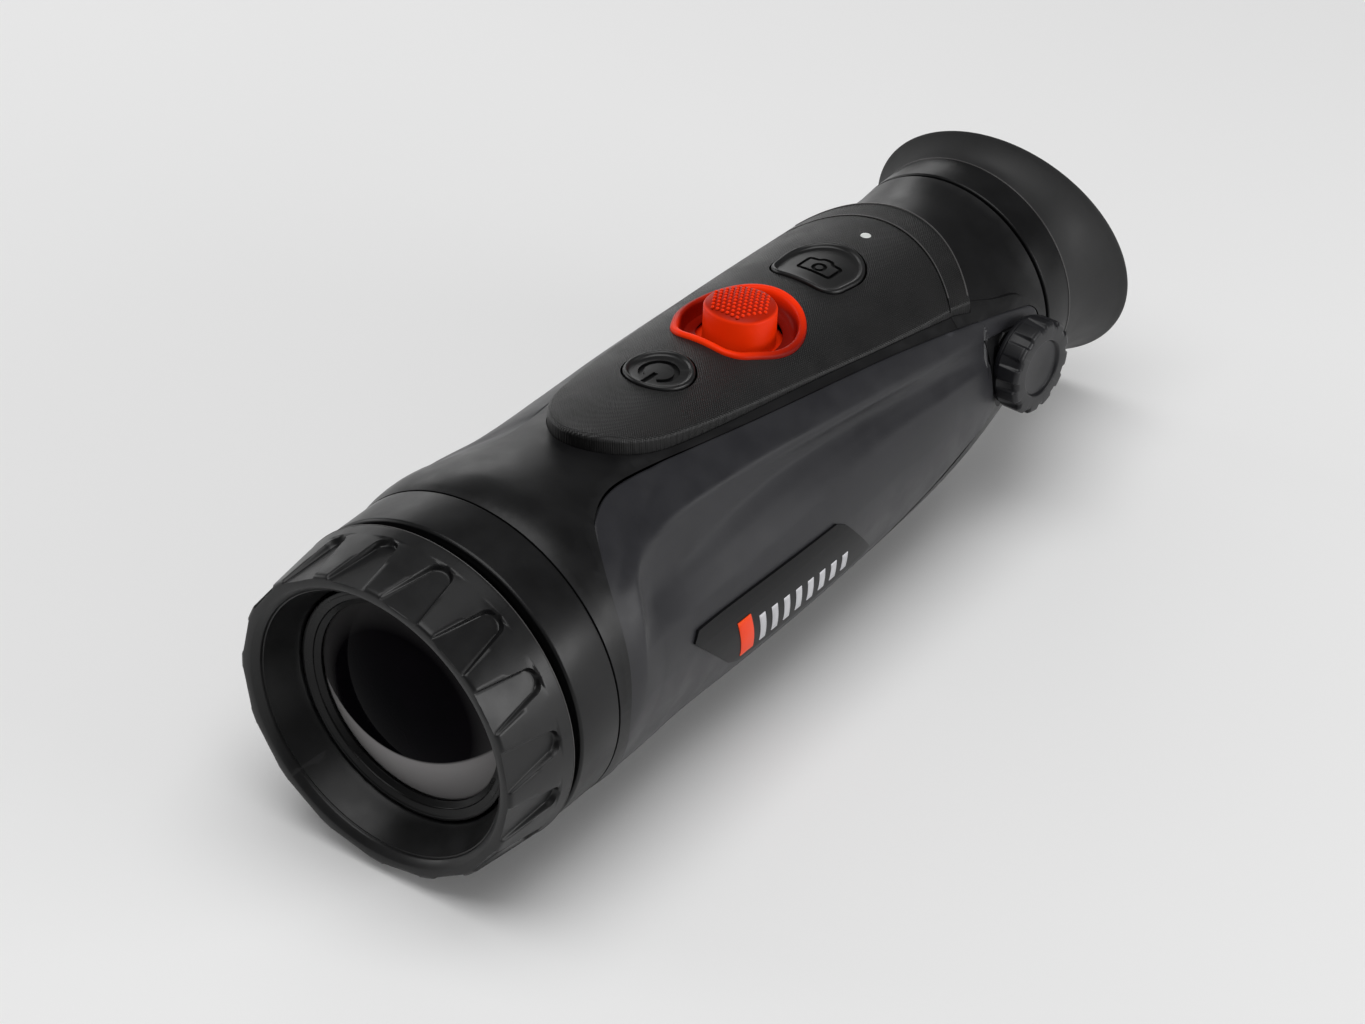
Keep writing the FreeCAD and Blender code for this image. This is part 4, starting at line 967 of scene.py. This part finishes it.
def make_grip(name, node, side):
    """A soft skin: rings from its rounded border inwards to a spine, and a plain back."""
    border = []
    for path, step in ((GRIP_TOP, 0.8), (GRIP_NOSE, 0.5), (RAIL_UNDER, 0.8), (GRIP_REAR, 0.8),
                       (GRIP_BOTTOM, 1.0), (GRIP_FRONT, 0.7)):
        border += walk(path, step)
    count = len(border)
    flat = [Vector((p.x, math.radians(side_angle(p.x, p.y)) * UNROLL)) for p in border]
    for _ in range(3):
        flat = [(flat[k - 1] + flat[k] * 2 + flat[(k + 1) % count]) / 4 for k in range(count)]
    spine = [spine_point(p.x) for p in flat]
    flat = [p + (p - s).normalized() * 0.12 for p, s in zip(flat, spine)]
    near = ((0.0, 0.34), (0.05, 0.2), (0.16, 0.1), (0.34, 0.04), (0.6, 0.0), (1.0, 0.0))
    rings = []
    for reach, drop in near:
        rings.append([(p + (s - p).normalized() * min(reach, 0.4 * (s - p).length), drop)
                      for p, s in zip(flat, spine)])
    inner = [point for point, drop in rings[-1]]
    levels = 46
    for k in range(1, levels + 1):
        rings.append([(p.lerp(s, k / levels), 0.0) for p, s in zip(inner, spine)])

    vertices = []
    for share in (0.0, 0.4, 0.75, 1.0):
        for p, s in zip(flat, spine):
            point = s.lerp(p, share)
            depth = RAIL_BACK + (GRIP_BACK - RAIL_BACK) * smooth(RAIL_START + 1 - point.x, 0.0, 4.0)
            vertices.append(skin_point(point.x, math.degrees(point.y / UNROLL), depth, side))
    for ring in rings:
        for point, drop in ring:
            degrees = math.degrees(point.y / UNROLL)
            vertices.append(skin_point(point.x, degrees, grip_depth(point.x, degrees) + drop, side))
    faces = grid_faces(len(vertices) // count, count, False, True)
    new_object(name, vertices, faces, "grip", "housing", [node], sharp=60)


# --- badges ----------------------------------------------------------------------------------------------
INLAY_PROUD, INLAY_SUNK = 0.16, 0.3
BAR_FEET = (74.8, -14.6)        # station and height of the wide bar's foot
BAR_TOP = (70.4, -2.8)
BAR_WIDTH = 4.2
TICKS, TICK_START, TICK_PITCH, TICK_WIDTH = 8, 81.0, 3.9, 1.9


def skin_bar(foot, top, width, side, steps=10):
    """A slanted bar on the skin, seen from the side: its two ends are level."""
    vertices, faces = [], []
    for depth in (INLAY_SUNK, -INLAY_PROUD * 0.6, -INLAY_PROUD):
        inset = 0.12 if depth == -INLAY_PROUD else 0.0
        for k in range(steps + 1):
            share = k / steps
            height = foot[1] + inset + (top[1] - foot[1] - 2 * inset) * share
            station = foot[0] + (top[0] - foot[0]) * share
            for edge in (inset, width - inset):
                vertices.append(skin_point(station + edge, side_angle(station + edge, height), depth, side))
    row = 2 * (steps + 1)
    border = [2 * k for k in range(steps + 1)] + [2 * k + 1 for k in reversed(range(steps + 1))]
    for level in range(2):
        for a, b in zip(border, border[1:] + border[:1]):
            faces.append((level * row + a, level * row + b, (level + 1) * row + b, (level + 1) * row + a))
    for start in (0, 2 * row):
        faces += [(start + 2 * k, start + 2 * k + 1, start + 2 * k + 3, start + 2 * k + 2)
                  for k in range(steps)]
    return vertices, faces


def make_inlays(suffix, side):
    """Plain slanted bars: one wide and bright, then a row of pale ones that get shorter."""
    vertices, faces = skin_bar(BAR_FEET, BAR_TOP, BAR_WIDTH, side)
    new_object("badge_bar_" + suffix, vertices, faces, "badge", "housing", sharp=40, material="inlay_orange")
    vertices, faces = [], []
    for k in range(TICKS):
        foot = (TICK_START + TICK_PITCH * k, -14.4 + 0.12 * k)
        top = (foot[0] - 3.2 + 0.25 * k, -5.4 - 0.42 * k)
        more, more_faces = skin_bar(foot, top, TICK_WIDTH, side)
        faces += [tuple(index + len(vertices) for index in face) for face in more_faces]
        vertices += more
    new_object("badge_ticks_" + suffix, vertices, faces, "badge", "housing", sharp=40, material="inlay_grey")


def make_bead(name, path, width, height):
    """A thin raised line over the panel's crown, along a path of (x, station); its pale colour is a painted
    highlight.
    """
    profile = ((-0.5, -0.3), (-0.48, 0.0), (-0.25, 0.9), (0.25, 0.9), (0.48, 0.0), (0.5, -0.3))
    points = [Vector(p) for p in path]
    vertices = []
    for k, point in enumerate(points):
        way = (points[min(k + 1, len(points) - 1)] - points[max(k - 1, 0)]).normalized()
        normal = Vector((-way.y, way.x))
        for across, up in profile:
            spot = point + normal * across * width
            vertices.append(crown_at(spot.x, spot.y, up * height))
    size = len(profile)
    faces = grid_faces(len(points), size, False, True)
    faces += [tuple(reversed(range(size))), tuple(size * (len(points) - 1) + k for k in range(size))]
    new_object(name, vertices, faces, "panel", "housing", sharp=50, material="painted_highlight_edge")


def rear_arc(half, side, middle, end, count=60):
    """Points of the arc through (-half, side), (0, middle) and (half, side), up to x = end either way."""
    rise = middle - side
    radius = (half * half + rise * rise) / (2 * rise)
    places = [end * (2 * k / count - 1) for k in range(count + 1)]
    return [(x, middle - radius + math.sqrt(radius * radius - x * x)) for x in places]


def make_panel_lines():
    """The two fine lines across the panel's rear, pale in colour: painted highlights."""
    make_bead("panel_line_front", rear_arc(26.0, 155.6, 166.9, 20.6), 0.34, 0.16)
    make_bead("panel_line_rear", rear_arc(23.0, 164.6, 173.4, 21.9), 0.4, 0.2)


# --- eyepiece collar ----------------------------------------------------------------------------------------
def make_collar():
    """The ring between the housing and the eyecup, with a pale bead at its rear edge: a painted highlight."""
    outline = rounded([(24.2, 190.4, 0.1), (24.3, 190.75, 0.1), (25.5, 190.75, 0.1), (25.8, 191.0, 0.2),
                       (25.8, 198.9, 0.5), (24.9, 198.95, 0.1), (21.5, 198.95, 0.1), (21.5, 204.9, 0.3),
                       (20.6, 204.9, 0.2), (20.6, 190.4, 0.1)], 0.2, 5)
    lathe("eyepiece_collar_ring", outline, "housing", "housing", ["eyepiece_collar"], 256)
    # painted highlight: a pale bead along the collar's rear edge
    edge = rounded([(25.6, 198.45), (25.92, 198.5), (25.92, 198.8), (25.6, 198.85)], 0.1)
    lathe("collar_edge_painted_highlight", edge, "housing", "housing", sharp=60, material="painted_highlight_edge")


def make_ring_edge():
    """A narrow pale bead at the focus ring's rear: a painted highlight."""
    # painted highlight: a pale bead along the ring's rear edge
    edge = rounded([(34.3, 16.95), (34.68, 17.0), (34.66, 17.22), (34.3, 17.3)], 0.1)
    lathe("ring_edge_painted_highlight", edge, "ring", "focus_ring", sharp=60, material="painted_highlight_edge")


def soften(node, width, angle=35.0):
    """A small bevel along a CAD node's sharp edges, so that they catch the light."""
    bevel = frame["nodes"][node].modifiers.new("soft_edges", "BEVEL")
    bevel.width = width * MM
    bevel.segments = 2
    bevel.limit_method = "ANGLE"
    bevel.angle_limit = math.radians(angle)


# --- floor, light and camera -----------------------------------------------------------------
CAMERA_AZIMUTH, CAMERA_ELEVATION = math.radians(37.05), math.radians(36.21)
CAMERA_AWAY, CAMERA_RIGHT, CAMERA_UP = 0.8728, 0.05809, 0.04096
LENS, SENSOR = 122.637, 36.0
FLOOR_HALF = 3.0


def look_axes(azimuth, elevation):
    """Right, up and backward directions of a viewer at an azimuth and elevation."""
    right = Vector((math.cos(azimuth), math.sin(azimuth), 0))
    back = Vector((math.sin(azimuth) * math.cos(elevation), -math.cos(azimuth) * math.cos(elevation),
                   math.sin(elevation)))
    return right, back.cross(right), back


def aim(thing, place, right, up, back):
    turn = Matrix((right, up, back)).transposed().to_4x4()
    thing.matrix_world = Matrix.Translation(place) @ turn


def make_camera():
    right, up, back = look_axes(CAMERA_AZIMUTH, CAMERA_ELEVATION)
    data = bpy.data.cameras.new("view")
    data.lens, data.sensor_width = LENS, SENSOR
    camera = bpy.data.objects.new("view", data)
    bpy.context.scene.collection.objects.link(camera)
    aim(camera, at(0, 0, 0) + back * CAMERA_AWAY + right * CAMERA_RIGHT + up * CAMERA_UP, right, up, back)
    bpy.context.scene.camera = camera


def make_floor():
    nodes = Nodes("studio_floor")
    haze = nodes.noise(3.0, 3.0)
    nodes.set(Base_Color=nodes.blend(nodes.ramp(haze, 0.0, 1.0), (0.86, 0.86, 0.86), (0.88, 0.88, 0.88)),
              Roughness=0.6)
    mesh = bpy.data.meshes.new("floor")
    corners = [(-FLOOR_HALF, -FLOOR_HALF, 0), (FLOOR_HALF, -FLOOR_HALF, 0), (FLOOR_HALF, FLOOR_HALF, 0),
               (-FLOOR_HALF, FLOOR_HALF, 0)]
    mesh.from_pydata(corners, [], [(0, 1, 2, 3)])
    mesh.materials.append(nodes.material)
    floor = bpy.data.objects.new("floor", mesh)
    bpy.context.scene.collection.objects.link(floor)


def soft_box(name, azimuth, elevation, distance, width, height, power):
    """An area light that looks at the middle of the object."""
    middle = at(0, 105, 0)
    right, up, back = look_axes(math.radians(azimuth), math.radians(elevation))
    data = bpy.data.lights.new(name, "AREA")
    data.shape = "RECTANGLE"
    data.size, data.size_y, data.energy = width, height, power
    light = bpy.data.objects.new(name, data)
    bpy.context.scene.collection.objects.link(light)
    aim(light, middle + back * distance, right, up, back)


def make_lights():
    world = bpy.data.worlds.new("studio")
    world.use_nodes = True
    background = world.node_tree.nodes["Background"]
    background.inputs["Color"].default_value = (1, 1, 1, 1)
    background.inputs["Strength"].default_value = 0.2
    bpy.context.scene.world = world
    soft_box("top_box", 20, 80, 1.1, 1.0, 1.0, 9.2)
    soft_box("right_box", 105, 14, 0.8, 0.6, 0.22, 2.6)
    soft_box("left_box", -75, 14, 0.9, 0.6, 0.22, 1.5)
    soft_box("rear_box", 228, 12, 0.9, 0.7, 0.25, 1.0)
    bpy.context.scene.view_settings.view_transform = "Standard"


dress_frame()
make_focus_ring()
make_front_barrel()
make_objective()
make_eyecup()
make_knob()
make_keys()
make_bezel()
make_stick()
make_led()
make_collar()
make_ring_edge()
make_panel_lines()
for suffix, side in (("right", 1), ("left", -1)):
    make_grip("grip_skin_" + suffix, "grip_" + suffix, side)
    make_inlays(suffix, side)
    soften("badge_" + suffix, 0.18)
for node, width in (("main_housing", 0.15), ("control_panel", 0.12), ("base_plate", 0.3), ("usb_cover", 0.2),
                    ("strap_lug", 0.3)):
    soften(node, width)
make_floor()
make_lights()
make_camera()
